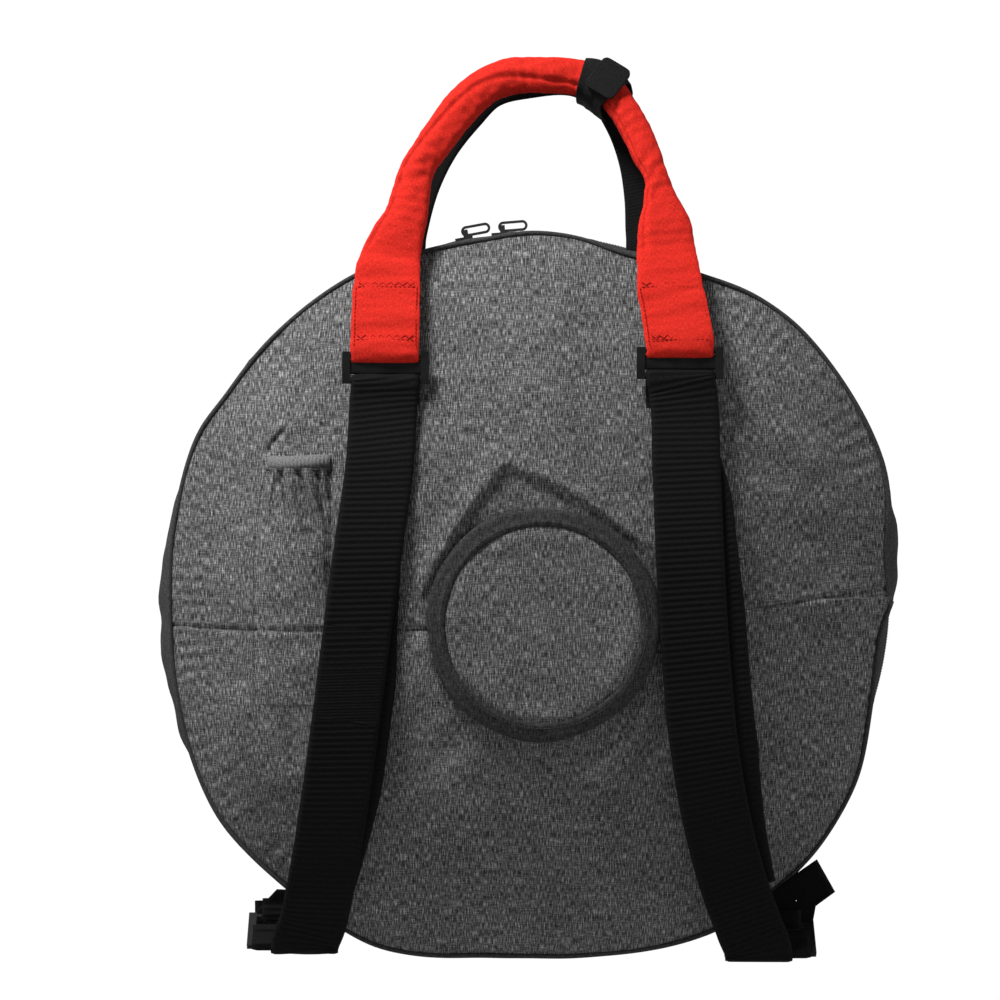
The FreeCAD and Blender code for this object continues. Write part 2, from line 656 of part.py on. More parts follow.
def export_all():
    doc.recompute()
    for item in doc.Objects:
        if "Invalid" in item.State or "Error" in item.State:
            raise RuntimeError("%s failed: %s" % (item.Label, item.State))
    for feature in SUB_PARTS:
        if feature.Shape.isNull() or not feature.Shape.isValid():
            raise RuntimeError(feature.Label + " has no valid shape")
    os.makedirs("parts", exist_ok=True)
    for feature in SUB_PARTS:
        label = feature.Label
        feature.Shape.exportStep("parts/%s.step" % label)
        box = feature.Shape.BoundBox
        print("%-22s %d solids %9.1f mm3  x %.0f..%.0f y %.0f..%.0f z %.0f..%.0f" % (
            label, len(feature.Shape.Solids), feature.Shape.Volume,
            box.XMin, box.XMax, box.YMin, box.YMax, box.ZMin, box.ZMax))


build_front_half()
build_rear_half()
build_zip()
build_sliders()
build_side_pocket(build_pad())
build_handle()
build_wrap()
for strap_side, strap_sign in SIDES:
    build_strap(strap_side, strap_sign)
export_all()
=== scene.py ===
import math

import bpy
import numpy as np
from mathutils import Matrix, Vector


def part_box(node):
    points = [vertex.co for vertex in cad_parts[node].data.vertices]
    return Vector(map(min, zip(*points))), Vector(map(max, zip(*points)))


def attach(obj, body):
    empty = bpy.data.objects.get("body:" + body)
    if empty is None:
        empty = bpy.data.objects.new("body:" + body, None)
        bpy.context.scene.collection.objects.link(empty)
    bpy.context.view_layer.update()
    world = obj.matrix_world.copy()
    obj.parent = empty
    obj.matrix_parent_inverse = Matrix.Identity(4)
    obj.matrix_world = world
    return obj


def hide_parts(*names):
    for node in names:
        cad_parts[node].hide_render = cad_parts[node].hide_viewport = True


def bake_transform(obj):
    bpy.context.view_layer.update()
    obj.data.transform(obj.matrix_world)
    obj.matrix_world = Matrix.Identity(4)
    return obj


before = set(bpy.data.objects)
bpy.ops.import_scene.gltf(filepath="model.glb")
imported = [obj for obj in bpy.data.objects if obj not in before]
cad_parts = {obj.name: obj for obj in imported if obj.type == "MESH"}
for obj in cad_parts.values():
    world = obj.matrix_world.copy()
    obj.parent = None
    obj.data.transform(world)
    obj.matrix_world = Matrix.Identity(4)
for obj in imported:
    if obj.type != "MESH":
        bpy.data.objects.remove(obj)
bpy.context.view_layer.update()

# The bag hangs from its carry grip. Shapes are worked out in millimetres from the middle of the bag,
# with +X to the right of the strap side, -Y towards the wearer and +Z up, and row() turns them into metres.

MM = 0.001


# ---------------------------------------------------------------- places read from the frame

def box_mm(node):
    """The lowest and highest corner of a CAD node, in millimetres from the middle of the bag."""
    low, high = (np.array(corner, float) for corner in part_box(node))
    return (low - MIDDLE) / MM, (high - MIDDLE) / MM


def middle_of_ring(node):
    """The point on the axis of a ring about Y, at y = 0."""
    low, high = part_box(node)
    return np.array([(low[0] + high[0]) / 2, 0.0, (low[2] + high[2]) / 2])


MIDDLE = middle_of_ring("front_piping")
RING_RADIUS = box_mm("front_gusset")[1][0]
FRONT_RIM = sum(corner[1] for corner in box_mm("front_piping")) / 2
REAR_RIM = sum(corner[1] for corner in box_mm("rear_piping")) / 2
FRONT_APEX = box_mm("lower_back_panel")[0][1]
REAR_APEX = box_mm("rear_panel")[1][1]
ZIP_PLANE = (box_mm("front_zip_coil")[0][1] + box_mm("rear_zip_coil")[1][1]) / 2
FRONT_FLAT = 60.0
REAR_FLAT = 110.0


def row(points):
    """Millimetres from the middle of the bag, as metres in the row frame."""
    return np.asarray(points, float) * MM + MIDDLE


# ---------------------------------------------------------------- small maths

def smoothstep(low, high, value):
    """0 below low, 1 above high and a smooth rise between."""
    t = np.clip((np.asarray(value, float) - low) / (high - low), 0.0, 1.0)
    return t * t * (3 - 2 * t)


def bump(value, middle, width):
    """A bell that is 1 at the middle."""
    return np.exp(-((np.asarray(value, float) - middle) / width) ** 2)


def unit(vectors):
    """Vectors scaled to length 1."""
    vectors = np.asarray(vectors, float)
    return vectors / np.maximum(np.linalg.norm(vectors, axis=-1, keepdims=True), 1e-9)


def xyz(x, y, z):
    """Points from their coordinates, each one a number or an array."""
    return np.stack(np.broadcast_arrays(x, y, z), axis=-1)


def turns(count):
    """That many angles, evenly round a full turn."""
    return np.linspace(0, 2 * math.pi, count, endpoint=False)


def walked_along(points):
    """How far along a line each of its points is."""
    steps = np.linalg.norm(np.diff(np.asarray(points, float), axis=0), axis=1)
    return np.concatenate([[0], np.cumsum(steps)])


def spline(points, count):
    """A smooth line through the points, at even steps of its length."""
    points = np.asarray(points, float)
    runs = np.maximum(np.linalg.norm(np.diff(points, axis=0), axis=1), 1e-6)[:, None]
    slopes = np.diff(points, axis=0) / runs
    inner = (runs[:-1] * slopes[1:] + runs[1:] * slopes[:-1]) / (runs[:-1] + runs[1:])
    tangents = np.vstack([slopes[:1], inner, slopes[-1:]])
    t = np.linspace(0, 1, 40, endpoint=False)[:, None]
    fine = []
    for index, run in enumerate(runs[:, 0]):
        fine.append((2 * t ** 3 - 3 * t ** 2 + 1) * points[index]
                    + (3 * t ** 2 - 2 * t ** 3) * points[index + 1]
                    + (t ** 3 - 2 * t ** 2 + t) * run * tangents[index]
                    + (t ** 3 - t ** 2) * run * tangents[index + 1])
    fine = np.vstack(fine + [points[-1:]])
    walked = walked_along(fine)
    steps = np.linspace(0, walked[-1], count)
    return np.stack([np.interp(steps, walked, fine[:, axis]) for axis in range(fine.shape[1])], axis=1)


def waves(x, z, seed, longest, count=7):
    """A smooth irregular surface of height about 1, the same each run."""
    dice = np.random.default_rng(seed)
    x, z = np.broadcast_arrays(np.asarray(x, float), np.asarray(z, float))
    total = np.zeros(x.shape)
    for _ in range(count):
        angle = dice.uniform(0, math.pi)
        length = longest * dice.uniform(0.45, 1.0)
        phase = dice.uniform(0, 2 * math.pi)
        total += np.sin((x * math.cos(angle) + z * math.sin(angle)) * 2 * math.pi / length + phase)
    return total / math.sqrt(count)


def beside(points, x, z):
    """For each place: its distance from a line of points, the side it is on, and how far along it is."""
    points = np.asarray(points, float)
    starts = walked_along(points)
    runs = np.diff(starts)
    best = np.full(np.shape(x), 1e9)
    side = np.zeros(np.shape(x))
    place = np.zeros(np.shape(x))
    for index, run in enumerate(runs):
        a, b = points[index], points[index + 1]
        along = ((x - a[0]) * (b[0] - a[0]) + (z - a[1]) * (b[1] - a[1])) / run ** 2
        t = np.clip(along, 0, 1)
        dx = x - a[0] - t * (b[0] - a[0])
        dz = z - a[1] - t * (b[1] - a[1])
        distance = np.hypot(dx, dz)
        nearer = distance < best
        best = np.where(nearer, distance, best)
        side = np.where(nearer, np.sign((b[0] - a[0]) * dz - (b[1] - a[1]) * dx), side)
        place = np.where(nearer, (starts[index] + t * run) / starts[-1], place)
    return best, side, place


# ---------------------------------------------------------------- mesh building

def mesh_object(name, parts, material, body, nodes=()):
    """One piece from parts, each a (points in millimetres, faces, uv per point) triple, on a body."""
    points, faces, uvs = [], [], []
    start = 0
    for part_points, part_faces, part_uvs in parts:
        points.append(np.asarray(part_points, float).reshape(-1, 3))
        uvs.append(np.asarray(part_uvs, float).reshape(-1, 2))
        faces.extend([tuple(index + start for index in face) for face in part_faces])
        start += len(points[-1])
    points = row(np.vstack(points))
    uvs = np.vstack(uvs) * MM
    mesh = bpy.data.meshes.new(name)
    mesh.from_pydata(points.tolist(), [], faces)
    layer = mesh.uv_layers.new(name="UVMap")
    corners = np.empty(len(mesh.loops), dtype=np.int32)
    mesh.loops.foreach_get("vertex_index", corners)
    layer.data.foreach_set("uv", uvs[corners].ravel())
    mesh.polygons.foreach_set("use_smooth", [True] * len(mesh.polygons))
    mesh.materials.append(material)
    mesh.update()
    piece = bpy.data.objects.new(name, mesh)
    bpy.context.scene.collection.objects.link(piece)
    if body:
        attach(piece, body)
    if nodes:
        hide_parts(*nodes)
    return piece


def look(node, parts, material, body):
    """The visible form of one CAD node."""
    return mesh_object("look_" + node, parts, material, body, [node])


def grid_faces(rows, columns, close_rows=False, close_columns=False):
    """The faces of a grid of points, wrapped round where it is closed."""
    faces = []
    for i in range(rows if close_rows else rows - 1):
        for j in range(columns if close_columns else columns - 1):
            below = (i + 1) % rows
            right = (j + 1) % columns
            faces.append((i * columns + j, i * columns + right, below * columns + right, below * columns + j))
    return faces


def grid(points, uv=None, close_rows=False, close_columns=False):
    """A part from a grid of points. Its uv runs in millimetres along the rows and the columns."""
    points = np.asarray(points, float)
    rows, columns = points.shape[:2]
    if uv is None:
        across = np.linalg.norm(np.diff(points, axis=1), axis=2).mean(axis=0)
        along = np.linalg.norm(np.diff(points, axis=0), axis=2).mean(axis=1)
        u = np.concatenate([[0], np.cumsum(across)])
        v = np.concatenate([[0], np.cumsum(along)])
        uv = np.stack(np.meshgrid(u, v), axis=-1)
    return points, grid_faces(rows, columns, close_rows, close_columns), uv


def plan_grid(x, y, z, close_columns=False):
    """A part from a grid of points whose uv is its place in the XZ plane."""
    return grid(xyz(x, y, z), np.stack([x, z], axis=-1), close_columns=close_columns)


def close_ends(band):
    """Adds the end faces of a band whose rows run along its front and back again along its rear."""
    points, faces, _ = band
    rows, count = points.shape[:2]
    last = (rows - 1) * count
    for j in range(count // 2 - 1):
        mirror = count - 2 - j
        faces.append((j, j + 1, mirror, mirror + 1))
        faces.append((last + j + 1, last + j, last + mirror + 1, last + mirror))
    return band


def frames_along(points, flat):
    """For a line of points: the sideways and the outward direction at each. flat is roughly outward."""
    ahead = unit(np.gradient(points, axis=0))
    outward = np.broadcast_to(np.asarray(flat, float), ahead.shape)
    sideways = unit(np.cross(ahead, outward))
    return sideways, unit(np.cross(sideways, ahead))


def tube(points, radius, sides=10, closed=False):
    """A part that is a round tube along a line. radius is one number or one for each point."""
    points = np.asarray(points, float)
    sideways, outward = frames_along(points, (0.13, -1.0, 0.29))
    radius = np.broadcast_to(np.asarray(radius, float), (len(points),))[:, None, None]
    angles = turns(sides)[None, :, None]
    ring = np.cos(angles) * sideways[:, None, :] + np.sin(angles) * outward[:, None, :]
    return grid(points[:, None, :] + radius * ring, close_rows=closed, close_columns=True)


STRIP_COLUMNS = 18                   # points across each face of a band
EDGE_POWER = 19.2                    # how late a band's edges turn in


def strip(points, widths, thickness, flat=None, ribs=0.0, pitch=4.6, slant=0.0):
    """A part that is a closed flat band along a line, with ribs across both of its faces.

    The band faces flat, or keeps its width along X where flat is left out.
    """
    points = np.asarray(points, float)
    if flat is None:
        ahead = unit(np.gradient(points, axis=0))
        sideways = unit(np.array([-1.0, 0.0, 0.0]) + ahead[:, :1] * ahead)
        outward = np.cross(sideways, ahead)
    else:
        sideways, outward = frames_along(points, flat)
    half = np.broadcast_to(np.asarray(widths, float), (len(points),)) / 2
    walked = walked_along(points)
    face = np.linspace(-1, 1, STRIP_COLUMNS)
    across = np.concatenate([face, face[::-1]])
    front = np.concatenate([np.ones(STRIP_COLUMNS), -np.ones(STRIP_COLUMNS)])
    edge = np.sqrt(np.clip(1 - np.abs(across) ** EDGE_POWER, 0, 1)) * 0.8 + 0.2
    reach = across[None, :] * half[:, None]
    phase = (walked[:, None] + slant * reach) * 2 * math.pi / pitch
    height = front[None, :] * (thickness / 2 * edge[None, :] + ribs * np.sin(phase) * edge[None, :])
    solid = (points[:, None, :] + reach[..., None] * sideways[:, None, :]
             + height[..., None] * outward[:, None, :])
    uv = np.stack([reach, np.broadcast_to(walked[:, None], reach.shape)], axis=-1)
    return close_ends(grid(solid, uv, close_columns=True))


# a stitch: its points as shares of its length, their rise off the cloth, and the thread's swelling there
STITCH_STEPS = np.array([-0.5, -0.3, 0.0, 0.3, 0.5])[:, None]
STITCH_RISES = np.array([-0.35, 0.12, 0.3, 0.12, -0.35])[:, None]
STITCH_SWELL = np.array([0.5, 0.9, 1.0, 0.9, 0.5])


def stitches(line, outward, length=2.6, pitch=3.4, radius=0.32):
    """Parts that are a row of thread stitches along a line, each one sunk at both of its ends."""
    count = max(2, int(walked_along(line)[-1] / pitch))
    middles = spline(line, 2 * count + 1)
    directions = unit(np.gradient(middles, axis=0))
    outward = np.broadcast_to(np.asarray(outward, float), middles.shape)
    parts = []
    for index in range(1, 2 * count, 2):
        thread = (middles[index] + STITCH_STEPS * length * directions[index]
                  + STITCH_RISES * outward[index])
        parts.append(tube(thread, radius * STITCH_SWELL, sides=6))
    return parts


# ---------------------------------------------------------------- materials

def add_node(tree, kind, inputs=(), **settings):
    """A node with its settings, and its inputs as plain values or as (node, output) links."""
    node = tree.nodes.new(kind)
    for name, setting in settings.items():
        setattr(node, name, setting)
    for name, source in dict(inputs).items():
        if isinstance(source, tuple) and isinstance(source[0], bpy.types.Node):
            tree.links.new(source[0].outputs[source[1]], node.inputs[name])
        else:
            node.inputs[name].default_value = source
    return node


def noise_on(tree, place, along, across, detail=2.0):
    """Noise over the surface, with that many waves to the metre along and across it."""
    mapped = add_node(tree, "ShaderNodeMapping", {"Vector": place, "Scale": (along, across, along)})
    return add_node(tree, "ShaderNodeTexNoise", {
        "Vector": (mapped, "Vector"), "Scale": 1.0, "Detail": detail, "Roughness": 0.55})


def ramp_of(tree, source, stops):
    """Colours by height, each stop a position and a grey level or a colour."""
    ramp = add_node(tree, "ShaderNodeValToRGB", {"Fac": source})
    elements = ramp.color_ramp.elements
    while len(elements) < len(stops):
        elements.new(0.5)
    for element, (position, shade) in zip(elements, stops):
        element.position = position
        element.color = (*(shade if isinstance(shade, tuple) else (shade,) * 3), 1.0)
    return ramp


def start_material(name, roughness, specular, metallic=0.0, sheen=0.0):
    """A material with its fixed numbers set on the shader, returned with its node tree and the shader."""
    material = bpy.data.materials.new(name)
    material.use_nodes = True
    tree = material.node_tree
    shader = tree.nodes["Principled BSDF"]
    shader.inputs["Roughness"].default_value = roughness
    shader.inputs["Specular IOR Level"].default_value = specular
    shader.inputs["Metallic"].default_value = metallic
    shader.inputs["Sheen Weight"].default_value = sheen
    shader.inputs["Sheen Roughness"].default_value = 0.5
    return material, tree, shader


def finish_material(tree, shader, colour, height=None, strength=0.5, distance=0.0003):
    """Links the colour, and the bump if there is one."""
    tree.links.new(colour[0].outputs[colour[1]], shader.inputs["Base Color"])
    if height:
        relief = add_node(tree, "ShaderNodeBump", {
            "Strength": strength, "Distance": distance, "Height": height})
        tree.links.new(relief.outputs["Normal"], shader.inputs["Normal"])


def cloth_material(name, stops, thread, streak, roughness=0.9, sheen=0.0, strength=0.6, weft_share=0.4):
    """A woven cloth: streaked yarn in both directions, a slow change of shade and a fine relief.

    thread is the width and streak the length of a yarn's streaks, in millimetres.
    """
    material, tree, shader = start_material(name, roughness, specular=0.06, sheen=sheen)
    place = (add_node(tree, "ShaderNodeUVMap", uv_map="UVMap"), "UV")
    fine, long = 1000 / thread, 1000 / streak
    warp = noise_on(tree, place, fine, long)
    weft = noise_on(tree, place, long, fine)
    slow = noise_on(tree, place, 22, 22, detail=3.0)
    crossed = add_node(tree, "ShaderNodeMix", {
        "Factor": weft_share, "A": (warp, "Fac"), "B": (weft, "Fac")}, data_type="FLOAT")
    shifted = add_node(tree, "ShaderNodeMath", {
        0: (slow, "Fac"), 1: 0.06, 2: (crossed, "Result")}, operation="MULTIPLY_ADD")
    level = add_node(tree, "ShaderNodeMath", {0: (shifted, "Value"), 1: 0.03}, operation="SUBTRACT")
    colour = ramp_of(tree, (level, "Value"), stops)
    finish_material(tree, shader, (colour, "Color"), (crossed, "Result"), strength, distance=0.0004)
    return material


def hard_material(name, stops, grain, roughness, specular=0.5, metallic=0.0, strength=0.25):
    """A moulded or lacquered material with a fine grain, in object space, for CAD nodes as well."""
    material, tree, shader = start_material(name, roughness, specular, metallic)
    place = (add_node(tree, "ShaderNodeTexCoord"), "Object")
    slow = noise_on(tree, place, 90, 90, detail=4.0)
    fine = noise_on(tree, place, grain, grain, detail=3.0)
    colour = ramp_of(tree, (slow, "Fac"), stops)
    finish_material(tree, shader, (colour, "Color"), (fine, "Fac"), strength)
    return material


HEATHER = cloth_material(
    "heather_cloth", ((0.32, 0.004), (0.43, 0.030), (0.51, 0.070), (0.60, 0.165), (0.71, 0.36)),
    thread=0.76, streak=6.2, strength=0.75, weft_share=0.32)
DARK_CLOTH = cloth_material(
    "dark_cloth", ((0.34, 0.012), (0.50, 0.030), (0.66, 0.055)), thread=0.7, streak=3.0, strength=0.5)
RED_CLOTH = cloth_material(
    "red_canvas", ((0.34, (0.28, 0.008, 0.005)), (0.50, (0.38, 0.013, 0.008)), (0.66, (0.47, 0.024, 0.014))),
    thread=0.8, streak=2.4)
ELASTIC = cloth_material(
    "ruched_elastic", ((0.34, 0.045), (0.50, 0.095), (0.66, 0.17)), thread=0.5, streak=1.6)
BINDING = cloth_material(
    "binding_cloth", ((0.34, 0.006), (0.50, 0.022), (0.66, 0.050)), thread=0.9, streak=5.0)
RED_THREAD = cloth_material(
    "red_thread", ((0.36, (0.12, 0.003, 0.002)), (0.62, (0.30, 0.012, 0.008))), thread=0.3, streak=0.9)
LINING = cloth_material(
    "lining_cloth", ((0.34, 0.030), (0.50, 0.055), (0.66, 0.085)), thread=1.6, streak=2.0, strength=0.8)
WEBBING = cloth_material(
    "black_webbing", ((0.34, 0.0015), (0.50, 0.0032), (0.66, 0.007)), thread=0.6, streak=2.0,
    roughness=0.78, strength=0.7)
WRAP_CLOTH = cloth_material(
    "wrap_loop_cloth", ((0.34, 0.0015), (0.50, 0.004), (0.66, 0.010)), thread=1.1, streak=1.3,
    sheen=0.02, roughness=0.8, strength=0.9)
GREY_THREAD = cloth_material("grey_thread", ((0.36, 0.020), (0.62, 0.075)), thread=0.3, streak=0.9)
BLACK_PLASTIC = hard_material(
    "black_plastic", ((0.3, 0.003), (0.7, 0.007)), grain=1500, roughness=0.6, specular=0.1)
ZIP_METAL = hard_material(
    "black_lacquered_metal", ((0.3, 0.015), (0.7, 0.035)), grain=700, roughness=0.28, metallic=0.6,
    strength=0.1)
ZIP_NYLON = hard_material("black_nylon", ((0.3, 0.008), (0.7, 0.02)), grain=2400, roughness=0.5)


# ---------------------------------------------------------------- the bag's outline and front surface

# (degrees anticlockwise from +X about the bag's middle, radius): the bag hangs a little out of round
OUTLINE = (
    (0, 283), (8, 289), (20, 293), (36, 294), (46, 295), (54, 291), (62, 282), (75, 275), (82, 281),
    (90, 283), (97, 279), (107, 280), (118, 284), (137, 283), (147, 282), (153, 287), (165, 284),
    (176, 286), (190, 289), (204, 291), (216, 296), (229, 293), (246, 296), (253, 290), (262, 280),
    (270, 278), (281, 282), (294, 292), (300, 296), (318, 296), (331, 290), (341, 278), (349, 273),
    (355, 272))
SEAM_LINE = ((-280, -22), (-205, -24), (-160, -23), (-60, -22), (60, -20), (158, -8), (277, 7))
FRONT_COLUMNS, FRONT_ROWS = 321, 161


def smooth_ring(pairs, spread=3.0):
    """Radius every half degree from listed (degrees, radius) pairs, with soft corners."""
    degrees = np.arange(720) / 2.0
    radius = np.interp(degrees, [pair[0] for pair in pairs], [pair[1] for pair in pairs], period=360)
    kernel = bump(np.arange(-24, 25) / 2.0, 0, spread)
    kernel /= kernel.sum()
    wrapped = np.concatenate([radius[-24:], radius, radius[:24]])
    return np.convolve(wrapped, kernel, mode="valid")


OUTLINE_RING = smooth_ring(OUTLINE)


def outer_radius(angle):
    """How far the bag's side reaches in a direction, in radians."""
    return np.interp(np.degrees(angle) % 360, np.arange(720) / 2.0, OUTLINE_RING, period=360)


def panel_radius(angle):
    """How far the front panel's edge reaches: inside the side, most of all at the left and the right."""
    degrees = np.degrees(angle) % 360
    inset = 2.5 + 8.0 * bump(degrees, 185, 17) + 10.0 * bump(degrees, 7, 8)
    return outer_radius(angle) - inset


def arc_depth(radius, flat, rim, apex):
    """Depth of a dome that is flat in the middle and then one arc down to the rim."""
    span, rise = RING_RADIUS - flat, abs(rim - apex)
    bend = (span ** 2 + rise ** 2) / (2 * rise)
    beyond = np.clip(radius - flat, 0, span)
    drop = bend - np.sqrt(bend ** 2 - beyond ** 2)
    return apex + math.copysign(1, rim - apex) * drop


# Lines of the cloth's folds as (x, z). Each has a kind, a half width and a height in millimetres.
# A step is raised on the left of its line, a ridge is raised along it and a crease is sunk along it.
FOLDS = (
    ("step", 1.5, 5.5, ((-84, -12), (-80, 7), (-70, 27), (-56, 50), (-39, 75), (-19, 100), (11, 88),
                        (41, 72), (67, 54), (86, 36), (94, 18))),
    ("crease", 2.2, 2.2, ((-88, 25), (-87, 7), (-85, -13))),
    ("step", 2.0, 5.0, ((-52, -96), (-63, -75), (-73, -50), (-82, -23))),
    ("ridge", 7.0, 4.5, ((98, -60), (76, -96), (57, -125), (29, -143))),
    ("crease", 10.0, 2.5, ((104, -72), (86, -108), (66, -138), (40, -158))),
    ("ridge", 12.0, 2.4, ((-150, 186), (-160, 163), (-168, 142))),
    ("crease", 7.0, 2.4, ((-160, 178), (-169, 160), (-178, 138))),
    ("crease", 2.4, 3.6, ((-178, 138), (-188, 127), (-195, 119), (-201, 108))),
    ("ridge", 6.0, 2.6, ((-170, 140), (-182, 132), (-196, 122))),
    ("crease", 7.0, 2.0, ((-186, -82), (-181, -101), (-176, -134))),
    ("ridge", 14.0, 2.2, ((-60, -110), (-52, -150), (-30, -190), (10, -215))),
    ("crease", 16.0, 2.4, ((-96, -60), (-92, -110), (-74, -165), (-40, -210))),
    ("crease", 14.0, 2.0, ((185, 70), (215, 40), (235, 12))),
    ("ridge", 12.0, 2.0, ((150, 130), (190, 118), (230, 92))),
    ("crease", 10.0, 2.0, ((190, -60), (215, -95), (224, -140))),
    ("ridge", 14.0, 2.2, ((-230, -60), (-222, -110), (-196, -160))),
    ("crease", 12.0, 2.0, ((-250, 60), (-246, 10), (-252, -40))),
    ("ridge", 10.0, 2.0, ((20, 262), (24, 232), (22, 196))),
    ("crease", 12.0, 1.8, ((-52, 262), (-60, 220), (-58, 170))),
)


def seam_height(x):
    """Height of the seam between the upper and the lower panel."""
    return np.interp(x, [point[0] for point in SEAM_LINE], [point[1] for point in SEAM_LINE])


def fold_height(x, z):
    """How far the folds lift the cloth off the plain dome."""
    total = np.zeros(np.shape(x))
    for kind, width, height, line in FOLDS:
        distance, side, place = beside(line, x, z)
        fade = smoothstep(-0.02, 0.16, place) * smoothstep(1.02, 0.84, place)
        if kind == "step":
            rise = 0.5 + 0.5 * np.tanh(side * distance / width)
            total += height * rise * fade * np.exp(-(distance / (width * 8)) ** 2)
        else:
            sign = 1 if kind == "ridge" else -1
            total += sign * height * fade * np.exp(-(distance / width) ** 2)
    return total


def front_height(x, z):
    """All the relief of the front cloth: folds, slow waves, and puckers at the seam and at the rim."""
    angle = np.arctan2(z, x)
    reach = np.hypot(x, z) / panel_radius(angle)
    inner = smoothstep(1.0, 0.9, reach)
    height = fold_height(x, z) * smoothstep(1.0, 0.93, reach)
    height += inner * (1.3 * waves(x, z, 11, 190) + 0.5 * waves(x, z, 12, 62) + 0.14 * waves(x, z, 13, 24))
    to_seam = np.abs(z - seam_height(x))
    pucker = np.sin(x / 3.7 + 2.2 * np.sin(x / 23.0)) * bump(to_seam, 0, 9)
    height += 0.35 * pucker - 1.6 * bump(to_seam, 0, 1.7) + 0.5 * bump(to_seam, 4.5, 3.0)
    degrees = np.degrees(angle)
    rim_pucker = np.sin(degrees * 2.6 + 3 * np.sin(degrees / 9.0)) * np.sin(degrees / 7.0 + 1.0)
    height += 0.9 * rim_pucker * smoothstep(0.84, 0.97, reach) * smoothstep(1.0, 0.97, reach)
    return height


def front_y(x, z, lift=0.0):
    """Depth of the front cloth at a place, or of something that much in front of it."""
    angle = np.arctan2(z, x)
    reach = np.hypot(x, z) / panel_radius(angle)
    plain = arc_depth(np.minimum(reach, 1.0) * RING_RADIUS, FRONT_FLAT, FRONT_RIM, FRONT_APEX)
    return plain - front_height(x, z) - lift


def draped(x, z, lift=0.0):
    """Points on the front cloth, or that much in front of it."""
    return xyz(x, front_y(x, z, lift), z)


def on_front(line, lift=0.0, count=60):
    """A smooth line that lies on the front cloth, from (x, z) points."""
    return draped(*spline(line, count).T, lift)


def half_panel(upper):
    """The grid of one front panel: round at the outline and straight along the seam."""
    u, v = np.meshgrid(np.linspace(-1, 1, FRONT_COLUMNS), np.linspace(0, 1, FRONT_ROWS) ** 1.15)
    v = v if upper else -v
    x = u * np.sqrt(1 - v ** 2 / 2)
    z = v * np.sqrt(1 - u ** 2 / 2)
    reach = np.hypot(x, z)
    edge = panel_radius(np.arctan2(z, x))
    x = x * edge
    z = z * edge + seam_height(x) * (1 - v ** 2) ** 2
    angle = np.arctan2(z, x)
    pull = panel_radius(angle) * reach / np.maximum(np.hypot(x, z), 1.0)
    blend = 1 + (pull - 1) * smoothstep(0.8, 1.0, reach)
    x, z = x * blend, z * blend
    return plan_grid(x, front_y(x, z), z)


def turned_under(part, depth, turn=2.2):
    """A part whose border is doubled back by that depth, so that the cloth has a thickness."""
    points, faces, uv = part
    rows, columns = points.shape[:2]
    border = [(0, j) for j in range(columns)] + [(i, columns - 1) for i in range(1, rows)]
    border += [(rows - 1, j) for j in range(columns - 2, -1, -1)] + [(i, 0) for i in range(rows - 2, 0, -1)]
    rim = np.array([points[place] for place in border])
    rim_uv = np.array([uv[place] for place in border])
    middle = points.reshape(-1, 3).mean(axis=0)
    inward = unit((middle - rim) * np.array([1.0, 0.0, 1.0]))
    back = rim + inward * turn + np.array([0.0, depth, 0.0])
    start = rows * columns
    ring = [i * columns + j for i, j in border]
    skirt = []
    for index in range(len(border)):
        after = (index + 1) % len(border)
        skirt.append((ring[index], start + index, start + after, ring[after]))
    return (np.vstack([points.reshape(-1, 3), back]), list(faces) + skirt,
            np.vstack([uv.reshape(-1, 2), rim_uv + turn]))


CLOTH_THICKNESS = 1.2
SEAM_ALLOWANCE = 3.2                 # from the seam up to its row of stitches


def build_front_panels():
    """The two heather panels on the wearer's side and the stitched seam between them."""
    for upper, node in ((True, "upper_back_panel"), (False, "lower_back_panel")):
        look(node, [turned_under(half_panel(upper), CLOTH_THICKNESS)], HEATHER, "bag")
    sewn = []
    for run in (SEAM_LINE[:4], SEAM_LINE[4:]):
        line = [(x, z + SEAM_ALLOWANCE) for x, z in run]
        sewn += stitches(on_front(line, 0.15, 200), (0, -1, 0), radius=0.26)
    mesh_object("back_seam_stitching", sewn, GREY_THREAD, "bag")


# ---------------------------------------------------------------- sides, pipings, zip and linings

def around(angles, radius, depth):
    """Points at a radius and a depth for each angle."""
    return xyz(radius * np.cos(angles), depth, radius * np.sin(angles))


def wall_part(stations, seed, crumple):
    """A side wall from (radius of an angle, depth) stations, with small vertical crumples."""
    angles = turns(360)
    rings = np.array([[reach(angles), np.full(angles.shape, float(depth))] for reach, depth in stations])
    count = 7 * (len(stations) - 1) + 1
    radius = spline(rings[:, 0, :], count)
    depths = spline(rings[:, 1, :1], count)[:, 0]
    place = np.linspace(0, 1, count)[:, None]
    middle = np.sin(math.pi * place) ** 0.7
    arc = np.degrees(angles)[None, :] * 5.0
    ripple = waves(arc, 30 * place, seed, 60) + 0.5 * waves(arc, 60 * place, seed + 1, 25)
    radius = radius + crumple * ripple * middle
    uv = np.stack(np.meshgrid(angles * RING_RADIUS, depths), axis=-1)
    return grid(around(angles, radius, depths[:, None]), uv, close_columns=True)


def ring_at(offset):
    """A reach function: the plain ring of the zip, moved by an offset."""
    return lambda angles: np.full(np.shape(angles), RING_RADIUS + offset)


def between(share, offset):
    """A reach function: part of the way from the zip's ring to the bag's uneven outline."""
    return lambda angles: RING_RADIUS + share * (outer_radius(angles) - RING_RADIUS) + offset


PIPING_RADIUS = 2.0


